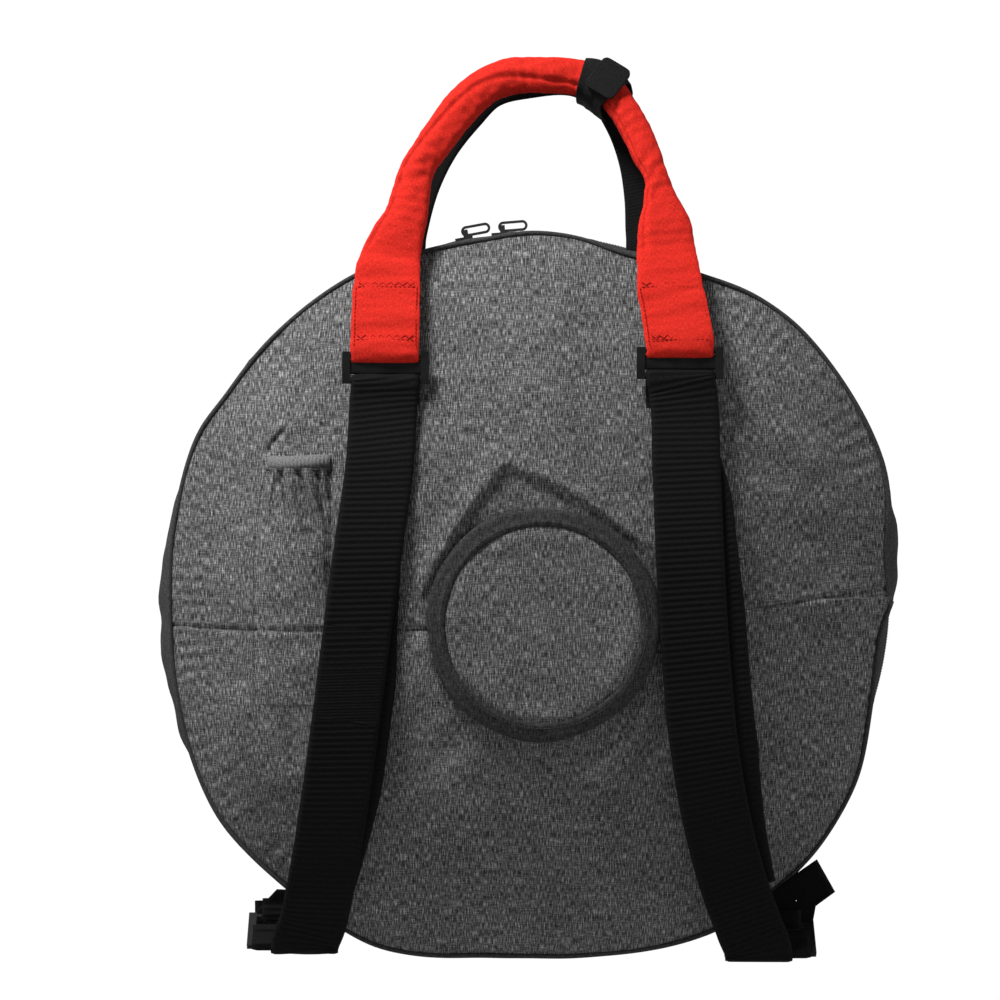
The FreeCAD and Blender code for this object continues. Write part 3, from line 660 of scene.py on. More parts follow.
def build_sides():
    """The plain side strips of both halves, and the piping round both rims."""
    tape_front = box_mm("front_zip_tape")[0][1]
    tape_rear = box_mm("rear_zip_tape")[1][1]
    front = wall_part([(lambda angles: panel_radius(angles) - 1.5, FRONT_RIM - 0.5),
                       (lambda angles: outer_radius(angles) - 1.0, FRONT_RIM + 6),
                       (between(0.9, 1.0), -26), (between(0.5, 1.0), -12), (ring_at(0.4), tape_front + 2)],
                      21, 0.7)
    look("front_gusset", [front], DARK_CLOTH, "bag")
    rear = wall_part([(ring_at(0.4), tape_rear - 2), (between(0.3, 1.0), tape_rear + 8),
                      (between(0.3, 0.0), REAR_RIM - 4), (between(0.2, -2.0), REAR_RIM + 1)], 22, 0.6)
    look("rear_gusset", [rear], DARK_CLOTH, "cover")

    angles = turns(540)
    uneven = 0.5 * np.sin(angles * 9 + 1) + 0.3 * np.sin(angles * 23)
    for half, body, radius, depth in (
            ("front", "bag", panel_radius(angles) + 0.6, FRONT_RIM + uneven),
            ("rear", "cover", between(0.2, -0.5)(angles), REAR_RIM + 1)):
        rim = tube(around(angles, radius, depth), PIPING_RADIUS, closed=True)
        look(half + "_piping", [rim], DARK_CLOTH, body)


def build_rear_panel():
    """The heather dome of the opening half."""
    u, v = np.meshgrid(np.linspace(-1, 1, 241), np.linspace(-1, 1, 241))
    x = u * np.sqrt(1 - v ** 2 / 2)
    z = v * np.sqrt(1 - u ** 2 / 2)
    reach = np.hypot(x, z)
    edge = between(0.2, -1.5)(np.arctan2(z, x))
    x, z = x * edge, z * edge
    depth = arc_depth(np.minimum(reach, 1) * RING_RADIUS, REAR_FLAT, REAR_RIM, REAR_APEX)
    inner = smoothstep(1.0, 0.9, reach)
    relief = 1.5 * waves(x, z, 31, 210) + 0.6 * waves(x, z, 32, 70) + 0.15 * waves(x, z, 33, 26)
    depth = depth + inner * relief
    degrees = np.degrees(np.arctan2(z, x))
    depth += 0.9 * np.sin(degrees * 2.3 + 2 * np.sin(degrees / 11)) * smoothstep(0.86, 0.97, reach) * inner
    look("rear_panel", [plan_grid(x, depth, z)], HEATHER, "cover")


QUILT = 110.0                        # the quilting's pitch, measured along the rows' diagonal
FOAM_AND_LINING = 12.5               # how far the lining's face lies inside the outer cloth


def lining_part(flat, rim, apex, wall_end, seed):
    """The quilted inside of one half: a dome and a wall, lying inside the outer cloth by the depth of its
    foam and lining.
    """
    angles = turns(360)
    inside = RING_RADIUS - FOAM_AND_LINING
    dome_reach = np.linspace(0.0005, 1.0, 110) * inside
    sign = math.copysign(1, rim - apex)
    dome_depth = arc_depth(dome_reach / inside * RING_RADIUS, flat, rim, apex)
    dome_depth = dome_depth + sign * FOAM_AND_LINING
    wall_depth = np.linspace(dome_depth[-1], wall_end, 12)[1:]
    radius = np.concatenate([dome_reach, np.full(len(wall_depth), inside)])[:, None]
    depth = np.concatenate([dome_depth, wall_depth])[:, None] + 0 * angles[None, :]
    x, z = radius * np.cos(angles), radius * np.sin(angles)
    quilt = np.sqrt(np.abs(np.sin((x + z) * math.pi / QUILT) * np.sin((x - z) * math.pi / QUILT)) + 0.02)
    on_dome = (radius < inside * 0.97)
    depth = depth + sign * on_dome * (1.4 * waves(x, z, seed, 120) - 2.4 * quilt)
    uv = np.stack([np.broadcast_to(angles * inside, depth.shape), radius + depth], axis=-1)
    return grid(xyz(x, depth, z), uv, close_columns=True)


def build_linings():
    """The padded, quilted linings that show when the cover is open."""
    for half, body, dome, wall_end, seed in (
            ("front", "bag", (FRONT_FLAT, FRONT_RIM, FRONT_APEX), box_mm("front_zip_tape")[0][1] + 2, 41),
            ("rear", "cover", (REAR_FLAT, REAR_RIM, REAR_APEX), box_mm("rear_zip_tape")[1][1] - 2, 42)):
        hidden = [half + layer for layer in ("_foam", "_lining", "_wall_foam", "_wall_lining")]
        piece = mesh_object("look_%s_lining" % half, [lining_part(*dome, wall_end, seed)], LINING, body,
                            hidden)


# ---------------------------------------------------------------- zip

ZIP_TURN = 150.0                     # the zip runs this many degrees each way from the top
HINGE_SAG = 1.3                      # how far the hinge strip bulges outwards between the two tapes
TOOTH_PITCH, TAPE_RIB_PITCH = 2.3, 1.9
# a coil turn: its rise over the tape at its root, foot, middle and tip, and the thread's radius there
TOOTH_RISES = np.array([-0.2, 1.0, 1.5, 0.7])
TOOTH_RADII = (0.45, 0.6, 0.65, 0.5)


def build_zip():
    """Ribbed tapes and the coils' turns round the top five sixths, and the cloth hinge below."""
    turn = math.radians(ZIP_TURN)
    angles = np.linspace(math.pi / 2 - turn, math.pi / 2 + turn, 900)
    arc = angles * RING_RADIUS
    for half, body, side in (("front", "bag", -1), ("rear", "cover", 1)):
        low, high = box_mm(half + "_zip_tape")
        outer = low[1] if side < 0 else high[1]
        across = np.linspace(outer, ZIP_PLANE + 0.05 * side, 8)
        radius = RING_RADIUS - 0.4 + 0.25 * np.sin(arc * 2 * math.pi / TAPE_RIB_PITCH)
        points = np.stack([around(angles, radius, depth) for depth in across])
        look(half + "_zip_tape", [grid(points)], WEBBING, body)

        low, high = box_mm(half + "_zip_coil")
        root, tip = (low[1], high[1]) if side < 0 else (high[1], low[1])
        count = int(2 * turn * RING_RADIUS / TOOTH_PITCH)
        teeth = []
        for index in range(count):
            angle = math.pi / 2 - turn + (index + 0.5 * (side > 0)) * 2 * turn / count
            away = np.array([math.cos(angle), 0.0, math.sin(angle)])
            line = away * (RING_RADIUS + TOOTH_RISES)[:, None]
            line[:, 1] = (root + side, root, (root + tip) / 2, tip)
            teeth.append(tube(line, TOOTH_RADII, sides=5))
        look(half + "_zip_coil", teeth, ZIP_NYLON, body)

    front_edge = box_mm("front_zip_tape")[0][1]
    rear_edge = box_mm("rear_zip_tape")[1][1]
    low_angles = np.linspace(math.radians(90 + ZIP_TURN), math.radians(450 - ZIP_TURN), 121)
    depths = np.linspace(front_edge - 1, rear_edge + 1, 25)
    radius = RING_RADIUS + 0.2 + 0.5 * waves(low_angles * 280, 0 * low_angles, 51, 40)
    points = [around(low_angles, radius + HINGE_SAG * bump(depth, ZIP_PLANE, 6), depth) for depth in depths]
    hinge = mesh_object("hinge_strip", [grid(points)], DARK_CLOTH, None,
                        ["front_hinge_strip", "rear_hinge_strip"])
    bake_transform(hinge)


# ---------------------------------------------------------------- centre pad

def build_centre_pad():
    """The round raised pad on the back and the bound band that slopes down from it."""
    low, high = box_mm("centre_pad_band")
    middle_x, middle_z = (low[0] + high[0]) / 2, (low[2] + high[2]) / 2
    inner = (box_mm("centre_pad")[1][0] - box_mm("centre_pad")[0][0]) / 2
    outer = (high[0] - low[0]) / 2 + 2.4
    lift = FRONT_APEX - low[1]
    angles = turns(360)

    def disc(stations, edge_play, seed):
        """A round part from (radius, height over the bag) stations, uneven at its edge."""
        fine = spline(stations, 12 * (len(stations) - 1) + 1)
        radius = fine[:, :1] + edge_play * smoothstep(inner + 2, outer, fine[:, :1]) * (
            np.sin(angles * 3 + 1.0) + 0.5 * np.sin(angles * 7))[None, :]
        x = middle_x + radius * np.cos(angles)
        z = middle_z + radius * np.sin(angles)
        play = 0.35 * waves(x, z, seed, 70) + 0.1 * waves(x, z, seed + 1, 20)
        y = FRONT_APEX - fine[:, 1:] - play * smoothstep(outer, inner, radius)
        return plan_grid(x, y, z, close_columns=True)

    face = disc([(0.3, lift - 1.0), (30, lift - 1.1), (55, lift - 1.6), (inner - 3, lift - 2.2),
                 (inner, lift - 3.4)], 0.0, 61)
    piece = look("centre_pad", [face], HEATHER, "bag")
    band = disc([(inner - 1.5, lift - 3.8), (inner - 0.3, lift - 1.8), (inner + 1.2, lift - 1.3),
                 (inner + 6, lift - 2.6), (outer - 1.4, lift - 4.4), (outer + 0.2, lift - 6.2),
                 (outer + 0.2, 1.5), (outer - 2.5, -3.5)], 1.0, 63)
    piece = look("centre_pad_band", [band], BINDING, "bag")
    ring = xyz(middle_x, 0, middle_z) + around(angles, inner + 3.2, FRONT_APEX - lift + 0.75)
    sewn = stitches(ring, (0, -1, 0), length=2.2, pitch=3.0, radius=0.22)
    mesh_object("pad_stitching", sewn, GREY_THREAD, "bag")


# ---------------------------------------------------------------- side pocket

POCKET_LEFT, POCKET_RIGHT = -201.0, -150.0
POCKET_FOOT, POCKET_MOUTH = -82.0, 99.0
ELASTIC_RISE, RUCHE_PITCH, RUCHE_HEIGHT = 10.5, 2.9, 0.3
GATHER_HEIGHT = 5.6                  # the ridge beside each gather, with its groove 0.8 times as deep
GATHERS = (((-199, 96), (-206, 67), (-213, 36)), ((-187, 97), (-182, 72), (-172, 40)),
           ((-173, 96), (-167, 76), (-158, 56)), ((-159, 97), (-154, 72), (-153, 50)))


def build_side_pocket():
    """A gathered stretch pocket on the left of the back, with a ruched elastic along its mouth."""
    u, v = np.meshgrid(np.linspace(0, 1, 70), np.linspace(0, 1, 180))
    z = POCKET_MOUTH + (POCKET_FOOT - POCKET_MOUTH) * v
    flare = 9 * smoothstep(0.0, 0.35, v)
    x = POCKET_LEFT - flare + (POCKET_RIGHT - POCKET_LEFT + flare + 6 * v) * u
    belly = np.sin(math.pi * np.clip(u, 0, 1)) ** 0.6 * (6.5 * (1 - v) ** 0.7 + 1.5)
    lift = 1.0 + belly * smoothstep(1.0, 0.85, v)
    for line in GATHERS:
        distance, side, place = beside(line, x, z)
        fade = smoothstep(1.05, 0.3, place)
        lift += GATHER_HEIGHT * fade * (np.exp(-((side * distance - 3.5) / 3.4) ** 2)
                                        - 0.8 * np.exp(-((side * distance + 1.5) / 2.2) ** 2))
    lift += 0.5 * np.sin(x / 1.9 + np.sin(x / 6)) * np.exp(-(v * 181 / 9) ** 2)
    lift += 0.6 * waves(x, z, 71, 45) * np.sin(math.pi * u)
    edge = np.minimum(np.minimum(u, 1 - u) * 8, 1)
    lift = lift * edge - 0.8 * (1 - edge)
    lift -= 1.6 * smoothstep(0.985, 1.0, v)
    part = plan_grid(x, front_y(x, z, lift), z)
    piece = look("side_pocket", [part], HEATHER, "bag")

    u, v = np.meshgrid(np.linspace(0, 1, 220), np.linspace(0, 1, 16))
    x = POCKET_LEFT + 2 + (POCKET_RIGHT - POCKET_LEFT - 3) * u
    z = POCKET_MOUTH - 1 + ELASTIC_RISE * v + 0.6 * np.sin(x / 9)
    ripple = x * 2 * math.pi / RUCHE_PITCH + 0.8 * np.sin(z / 2.0)
    ruche = RUCHE_HEIGHT * np.sin(ripple) * np.sin(math.pi * v) ** 0.5
    belly = np.sin(math.pi * u) ** 0.6 * 7.5
    lift = belly + ruche + 4.6 * np.sqrt(np.clip(np.sin(math.pi * v), 0, 1))
    part = plan_grid(x, front_y(x, z, lift), z)
    look("side_pocket_elastic", [part], ELASTIC, "bag")

    def below_mouth(start, end, drop, belly, lift, count):
        """A level line over the pocket's belly, from start to end beside its left and right edges."""
        x = np.linspace(POCKET_LEFT + start, POCKET_RIGHT - end, count)
        z = np.full(count, POCKET_MOUTH - drop)
        share = (x - POCKET_LEFT) / (POCKET_RIGHT - POCKET_LEFT)
        return draped(x, z, np.sin(math.pi * share) ** 0.6 * belly + lift)

    # a dark binding tube along the foot of the elastic: partly a real hem roll, partly painted shadow for the
    # shade line under the elastic
    hem_and_painted_shadow = tube(below_mouth(1, 2, 1.6, 7.5, 1.6, 80), 0.9, sides=8)
    mesh_object("side_pocket_hem_and_painted_shadow", [hem_and_painted_shadow], BINDING, "bag")
    sewn = stitches(below_mouth(2, 4, 3.5, 8.0, 1.5, 60), (0, -1, 0), pitch=3.0, radius=0.25)
    edge = [(POCKET_LEFT - out, z) for out, z in ((1, 94), (7, 60), (9, 0), (9, -78))]
    sewn += stitches(on_front(edge, 0.6), (0, -1, 0), pitch=3.6, radius=0.22)
    mesh_object("pocket_stitching", sewn, GREY_THREAD, "bag")


# ---------------------------------------------------------------- shoulder straps

LOOP_BAR = {"left": (-109.0, -107.0, 183.5), "right": (112.0, -107.0, 187.0)}
LOCK_BAR = {"left": (-181.0, -50.0, -246.0), "right": (183.0, -50.0, -252.0)}
STRAP_ROUTES = {
    "left": ((-110.0, -110.8, 153.0), (-113.0, -120.0, 100.0), (-121.0, -127.0, 40.0),
             (-129.0, -127.0, -20.0), (-138.0, -122.0, -90.0), (-149.0, -110.0, -165.0),
             (-158.0, -97.0, -215.0), (-165.0, -84.0, -246.0)),
    "right": ((114.0, -110.8, 156.0), (116.0, -120.0, 100.0), (118.0, -127.0, 40.0),
              (121.0, -127.0, -20.0), (128.0, -122.0, -100.0), (140.0, -110.0, -168.0),
              (154.0, -96.0, -218.0), (166.0, -84.0, -250.0)),
}
STRAP_WIDTH, STRAP_THICKNESS = 51.0, 2.0
LOOP_DROP = 19.0
LOCK_FORWARD, LOCK_DOWN = 20.0, 18.0
BAR_WRAP = 3.8
RIB_PITCH, RIB_HEIGHT, RIB_STEP = 4.6, 0.3, 0.75
TAIL_GAP = 4.2                       # from the middle of a strap back to the middle of its tail
RIB_SLANT = {"left": -0.16, "right": -0.02}
# (height, how far the doubled tail shows to the right of the strap in front of it)
TAIL_SHIFTS = {"left": ((-215, 0), (-190, 3), (-140, 8), (-60, 8), (-20, 4), (30, 0)),
               "right": ((-215, 6), (-150, 12), (-110, 15), (-10, 14), (75, 8), (105, 0))}
ROLL_WIDTH = 62.0
JOIN_POINT = 4                       # the route point where a strap's two visual lengths meet


def round_bar(bar, start, end, count=9):
    """Points round a cross bar, in degrees from straight back, turning up and to the front."""
    angles = np.radians(np.linspace(start, end, count))
    x, y, z = bar
    return xyz(x, y + BAR_WRAP * np.cos(angles), z + BAR_WRAP * np.sin(angles))


def ribbed(line, slant):
    """A ribbed strap part along a line."""
    points = spline(line, int(walked_along(line)[-1] / RIB_STEP))
    return strip(points, STRAP_WIDTH, STRAP_THICKNESS, None, RIB_HEIGHT, RIB_PITCH, slant)


def build_roll(side):
    """The webbing threaded through a ladder lock, round its middle and its front bar."""
    x, y, z = LOCK_BAR[side]
    middle_bar = (x, y - LOCK_FORWARD / 2, z - LOCK_DOWN / 2)
    front_bar = (x, y - LOCK_FORWARD, z - LOCK_DOWN)
    line = np.vstack([round_bar(middle_bar, 10, 170), round_bar(front_bar, 190, 330)])
    points = spline(line, 90)
    part = strip(points, ROLL_WIDTH, STRAP_THICKNESS, None, RIB_HEIGHT, RIB_PITCH)
    look("strap_roll_" + side, [part], WEBBING, "lock_" + side)


def build_strap(side):
    """One shoulder strap with both of its ends turned round their fittings, and its doubled tail."""
    route = np.array(STRAP_ROUTES[side])
    slant = RIB_SLANT[side]
    x, y, z = LOOP_BAR[side]
    bar = (x, y, z - LOOP_DROP)
    behind = np.array([(x, y + BAR_WRAP, z - LOOP_DROP - 24), (x, y + BAR_WRAP, z - LOOP_DROP - 10)])
    upper = np.vstack([behind, round_bar(bar, 0, 180), route[:JOIN_POINT + 1]])
    piece = mesh_object("look_strap_upper_" + side, [ribbed(upper, slant)], WEBBING, None,
                        ["strap_fold_" + side, "shoulder_strap_" + side])
    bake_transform(piece)

    x, y, z = LOCK_BAR[side]
    inward = -1 if side == "right" else 1
    roll = (x + 9 * inward, y - LOCK_FORWARD - 2.4, z - LOCK_DOWN - 2.4)
    turned = round_bar(roll, 190, 350)
    back = np.array([(roll[0], roll[1] + BAR_WRAP + 2, roll[2] + 7)])
    lower = np.vstack([route[JOIN_POINT - 1:], turned, back])
    lower[:2] += (0, 0.15, 0)
    piece = mesh_object("look_strap_lower_" + side, [ribbed(lower, slant)], WEBBING, None)
    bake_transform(piece)

    tail = spline(route[1:-1], 24)
    tail[:, 0] += np.interp(tail[:, 2], *zip(*TAIL_SHIFTS[side]))
    tail[:, 1] += TAIL_GAP
    look("strap_tail_" + side, [ribbed(tail, slant)], WEBBING, "bag")


# outlines of the anchor wings as (outwards, up) from the lock's first bar: the left one lies folded in
ANCHOR_OUTLINES = {
    "left": ((14.0, 21.0), (30.0, 4.0), (29.0, -3.0), (-23.0, 1.0), (-5.0, 20.0)),
    "right": ((38.0, 50.0), (52.0, 25.0), (37.0, 14.0), (34.0, -2.0), (-23.0, 1.0), (-5.0, 20.0))}
# the wing's padded section: shares of the way out from its middle, and the depth of the cloth there
WING_SECTION = ((0.02, -1.5), (0.3, -1.5), (0.6, -1.3), (0.85, -1.2), (0.94, -1.5), (1.0, -0.7), (1.0, 0.7),
                (0.94, 1.2), (0.6, 1.2), (0.02, 1.2))


def build_anchor(side):
    """The sewn wing that ties a ladder lock to the bag's lower rim, with its boxed stitching."""
    sign = 1 if side == "right" else -1
    x, y, z = LOCK_BAR[side]
    depth = y + 3.4
    outline = np.array(ANCHOR_OUTLINES[side] + ANCHOR_OUTLINES[side][:1])
    outline = outline * (sign, 1) + (x, z)
    middle = outline[:-1].mean(axis=0)
    edge = np.vstack([spline(outline[i:i + 2], 14)[:-1] for i in range(len(outline) - 1)])
    rings = []
    for share, offset in WING_SECTION:
        flat_x, flat_z = (middle + (edge - middle) * share).T
        rings.append(xyz(flat_x, depth + offset + 0.8 * waves(flat_x, flat_z, 81, 50), flat_z))
    wing = grid(rings, close_columns=True)
    web = np.vstack([[(x, depth, z + 14)], round_bar((x, y, z), 0, -180), [(x, y - BAR_WRAP + 1, z + 12)]])
    web_part = strip(spline(web, 60), STRAP_WIDTH - 1, STRAP_THICKNESS, None, 0.2, RIB_PITCH)
    tail = spline(((x, y + 4.8, z + 12), (x, y + 5.6, z - 4), (x, y + 2.5, z - 18)), 40)
    tail_part = strip(tail, ROLL_WIDTH, STRAP_THICKNESS, None, 0.2, RIB_PITCH)
    mesh_object("look_anchor_" + side, [wing, web_part, tail_part], WEBBING, "bag", ["anchor_tab_" + side])
    inner = middle + (outline - middle) * 0.82
    line = xyz(inner[:, 0], depth - 1.9, inner[:, 1])
    sewn = []
    for index in range(len(line) - 1):
        sewn += stitches(line[index:index + 2], (0, -1, 0), radius=0.3)
    mesh_object("anchor_stitching_" + side, sewn, WEBBING, "bag")


# ---------------------------------------------------------------- carry handle

LEAN = 62.0 / 158.0                  # how far the handle leans back for each millimetre up
LEAN_FOOT = (-75.0, 246.0)           # (depth, height) of the arch's middle where the lean starts


def lean_y(z):
    """Depth of the handle's middle at a height."""
    return LEAN_FOOT[0] + (z - LEAN_FOOT[1]) * LEAN


# (x, depth or None for the leaning arch, z, width, thickness, squareness)
HANDLE_STATIONS = (
    (-109.6, -107.0, 177.6, 49.5, 2.0, 3.0), (-109.6, -107.2, 179.2, 51.0, 7.6, 3.0),
    (-109.6, -107.2, 184.0, 51.6, 10.4, 3.2), (-109.5, -106.4, 190.0, 51.8, 8.6, 4.0),
    (-109.4, -103.2, 200.0, 51.8, 5.6, 5.0), (-109.4, -97.5, 214.0, 51.4, 5.2, 5.0),
    (-109.1, -89.0, 230.0, 51.0, 5.6, 5.0), (-108.3, -79.5, 247.0, 49.2, 8.0, 3.6),
    (-105.2, None, 263.0, 44.5, 12.0, 2.8), (-101.0, None, 276.0, 39.5, 15.0, 2.4),
    (-95.2, None, 292.0, 33.0, 17.5, 2.2), (-91.3, None, 311.0, 29.5, 19.0, 2.1),
    (-86.0, None, 331.0, 26.6, 20.0, 2.1), (-74.0, None, 350.5, 27.0, 20.0, 2.1),
    (-53.0, None, 379.5, 28.6, 20.0, 2.2), (-35.5, None, 397.0, 28.2, 20.0, 2.3),
    (-15.0, None, 405.5, 28.6, 20.0, 2.3), (12.0, None, 406.5, 28.2, 20.0, 2.3),
    (44.0, None, 403.0, 27.8, 20.0, 2.3), (62.0, None, 393.0, 25.0, 20.0, 2.2),
    (72.0, None, 380.0, 23.0, 20.0, 2.1), (80.5, None, 364.0, 23.0, 19.0, 2.1),
    (90.0, None, 342.0, 22.4, 17.5, 2.1), (97.8, None, 322.0, 19.0, 16.5, 2.1),
    (100.0, None, 306.0, 26.0, 14.5, 2.2), (102.4, None, 287.0, 39.0, 12.5, 2.5),
    (103.6, None, 267.0, 44.0, 10.0, 3.0), (104.6, -78.0, 250.0, 47.6, 8.0, 3.6),
    (106.0, -88.0, 232.0, 50.0, 5.6, 5.0), (108.8, -96.5, 216.0, 50.8, 5.2, 5.0),
    (110.6, -102.8, 203.0, 51.2, 5.6, 5.0), (111.8, -106.2, 194.0, 51.4, 8.6, 4.0),
    (112.0, -107.2, 187.6, 51.4, 10.4, 3.2), (112.0, -107.2, 183.0, 51.0, 7.6, 3.0),
    (112.0, -107.0, 181.2, 49.5, 2.0, 3.0))
SECTION_POINTS = 72
END_STATIONS = 120                   # the stations that cover one flat end of the handle
ARCH_START, ARCH_FULL = 75, 110      # from each end: where the padding starts, and where it is full
# millimetres for one radian round the handle, for its folds and for its waves
SURFACE_RADIUS, PATTERN_RADIUS = 9, 12
# pinches of the padding: (millimetres from the start, spread, depth) and (share of the length, spread, depth)
PINCHES = ((158, 5, 1.6), (171, 4, 1.1), (188, 5, 0.9))
FAR_PINCHES = ((0.712, 5, 1.4), (0.735, 4, 1.3), (0.762, 6, 1.0))


def handle_stations(count):
    """The handle's stations, evenly spread over its whole length."""
    stations = [(x, lean_y(z) if y is None else y, z, *section) for x, y, z, *section in HANDLE_STATIONS]
    return spline(stations, count)


def section_ring(count, square):
    """A rounded square from -1 to 1: round at 2, and squarer as the number grows."""
    angles = turns(count)
    c, s = np.cos(angles), np.sin(angles)
    power = (2.0 / square)[:, None]
    return np.sign(c) * np.abs(c) ** power, np.sign(s) * np.abs(s) ** power, angles


def build_handle():
    """The red padded handle in one length, folded flat round a top loop at each end."""
    stations = handle_stations(620)
    points, width, depth, square = stations[:, :3], stations[:, 3], stations[:, 4], stations[:, 5]
    sideways, outward = frames_along(points, (0.0, -1.0, 0.12))
    across, out, angles = section_ring(SECTION_POINTS, square)
    walked = walked_along(points)
    s, theta = np.meshgrid(walked, angles, indexing="ij")
    arch = smoothstep(ARCH_START, ARCH_FULL, s) * smoothstep(
        walked[-1] - ARCH_START, walked[-1] - ARCH_FULL, s)
    over = theta * PATTERN_RADIUS
    relief = arch * (0.7 * waves(s, over, 91, 55) + 0.35 * waves(s, over, 92, 18))

    def lengthways(where, width):
        """A bell across a line that runs along the handle at an angle round it."""
        return np.exp(-((theta - where) * SURFACE_RADIUS / width) ** 2)

    fold_at = math.pi * 0.5 + 0.9 * np.sin(s / 105.0 + 0.6)
    relief += arch * (0.8 * lengthways(fold_at + 0.28, 2.2) - 1.5 * lengthways(fold_at, 1.3)
                      + 0.9 * lengthways(math.pi * 0.98, 1.0))
    far = tuple((share * walked[-1], spread, deep) for share, spread, deep in FAR_PINCHES)
    for pinch, spread, deep in PINCHES + far:
        slanted = s - pinch - 7 * np.cos(theta)
        relief -= deep * np.exp(-(slanted / spread) ** 2) * (0.5 + 0.5 * np.sin(theta))
    flat = 1 - arch
    relief += flat * (0.55 * waves(s, across * 20, 93, 34) + 0.2 * waves(s, across * 20, 94, 12))
    half_width = width[:, None] / 2 + relief * np.abs(across) ** 0.5 * 0.5
    half_depth = depth[:, None] / 2 + relief
    ring = (points[:, None, :] + (across * half_width)[..., None] * sideways[:, None, :]
            + (out * half_depth)[..., None] * outward[:, None, :])
    uv = np.stack([across * half_width + 40 * (out < 0), s], axis=-1)
    part = grid(ring, uv, close_columns=True)
    last = (len(points) - 1) * SECTION_POINTS
    part[1].append(tuple(range(SECTION_POINTS))[::-1])
    part[1].append(tuple(last + index for index in range(SECTION_POINTS)))
    piece = mesh_object("look_handle", [part], RED_CLOTH, "bag",
                        ["handle_sleeve", "handle_core", "handle_end_left", "handle_end_right"])

    def face_point(height, sign, offset):
        """A point on the front face of one flat end of the handle, offset sideways from its middle."""
        end = stations[:END_STATIONS] if sign < 0 else stations[-END_STATIONS:][::-1]
        x, y, thickness = (np.interp(height, end[:, 2], end[:, axis]) for axis in (0, 1, 4))
        return x + offset, y - thickness / 2 - 0.25, height

    sewn = []
    for sign in (-1, 1):
        for height in (195.0, 236.0):
            ends = [face_point(height, sign, offset) for offset in (-22, 22)]
            sewn += stitches(ends, (0, -1, 0), pitch=3.2, radius=0.38)
            zigzag = [face_point(height + 2.2 + 1.3 * (-1) ** step, sign, 3 * step - 21)
                      for step in range(15)]
            sewn.append(tube(zigzag, 0.36, sides=6))
        for offset in (-23.0, 23.0):
            edge = [face_point(height, sign, offset) for height in (190, 205, 220, 236)]
            sewn += stitches(edge, (0, -1, 0), pitch=3.2, radius=0.36)
    mesh_object("handle_stitching", sewn, RED_THREAD, "bag")


# (x, depth, z, width)
REAR_STATIONS = (
    (-113, -24, 240, 44), (-104, -20, 268, 44), (-101, -17, 280, 42), (-96, -14, 292, 36), (-82, -8, 324, 26),
    (-67, -4, 350, 22), (-47, 0, 376, 22), (-29, 3, 393, 20), (0, 5, 401, 20), (40, 5, 401, 20),
    (56, 3, 391, 20), (69, 0, 371, 20), (81, -6, 340, 22), (88, -10, 312, 28), (93, -14, 290, 37),
    (96, -18, 276, 42), (97, -20, 266, 44), (101, -24, 238, 44))
REAR_RIB_HEIGHT, REAR_RIB_PITCH = 0.15, 2.6
SEWN_DEPTH = 5.0                     # how far the webbing's ends go in under the wall's outer cloth


def build_rear_webbing():
    """The plain black webbing behind the padded handle."""
    stations = spline(REAR_STATIONS, 520)
    stations[:, 1] += 3.0
    points, faces, uv = strip(stations[:, :3], stations[:, 3], STRAP_THICKNESS, (0.0, -1.0, 0.1),
                              REAR_RIB_HEIGHT, REAR_RIB_PITCH)
    radius = np.hypot(points[..., 0], points[..., 2])
    points[..., ::2] *= (np.maximum(radius, RING_RADIUS - SEWN_DEPTH) / radius)[..., None]
    look("rear_handle_webbing", [(points, faces, uv)], WEBBING, "bag")


# (x, z, width)
WRAP_STATIONS = ((41.0, 403.0, 33.0), (50.0, 400.5, 35.0), (60.0, 394.0, 35.0), (68.0, 385.5, 33.0))
WRAP_HALF_DEPTH = 21.0
FLAP_HALF_SIZE = (13.0, 15.0)
FLAP_THICKNESS = 1.8


def build_wrap():
    """The stiff hook-and-loop wrap that ties the two halves of the handle together, and its flap."""
    stations = spline([(x, lean_y(z) + 8.0, z, width) for x, z, width in WRAP_STATIONS], 60)
    points, width = stations[:, :3], stations[:, 3]
    sideways, outward = frames_along(points, (0.0, -1.0, 0.12))
    across, out, angles = section_ring(64, np.full(60, 3.4))
    place = np.linspace(0, 1, 60)[:, None]
    swell = 0.7 * np.sin(math.pi * place) + 0.25 * waves(place * 30, angles * 12, 95, 14)
    rings = []
    for wall in (1.0, 0.93):
        half = (width[:, None] / 2 + swell) * wall
        deep = (WRAP_HALF_DEPTH + swell) * wall
        rings.append(points[:, None, :] + (across * half)[..., None] * sideways[:, None, :]
                     + (out * deep)[..., None] * outward[:, None, :])
    both = np.vstack([rings[0], rings[1][::-1]])
    mesh_object("look_handle_wrap", [grid(both, close_rows=True, close_columns=True)], WRAP_CLOTH, "bag",
                ["handle_wrap"])

    middle = sum(box_mm("wrap_flap")) / 2
    along = unit(points[-1] - points[0])
    facing = unit(np.array([0.0, -1.0, LEAN]))
    over = unit(np.cross(along, facing))
    u, v = np.meshgrid(np.linspace(-1, 1, 30), np.linspace(-1, 1, 36))
    curl = 1.1 * smoothstep(0.5, 1.0, np.abs(v)) - 0.4 * np.abs(u) ** 3
    corner = np.abs(u) ** 6 * np.abs(v) ** 6
    top = (middle + (u * FLAP_HALF_SIZE[0] * (1 - 0.12 * corner))[..., None] * along
           + (v * FLAP_HALF_SIZE[1] * (1 - 0.12 * corner))[..., None] * over
           + (curl * 0.6 + 0.5)[..., None] * facing)
    under = top[:, ::-1] - FLAP_THICKNESS * facing
    flap = close_ends(grid(np.concatenate([top, under], axis=1), close_columns=True))
    look("wrap_flap", [flap], WRAP_CLOTH, "flap")


# ---------------------------------------------------------------- kept CAD pieces

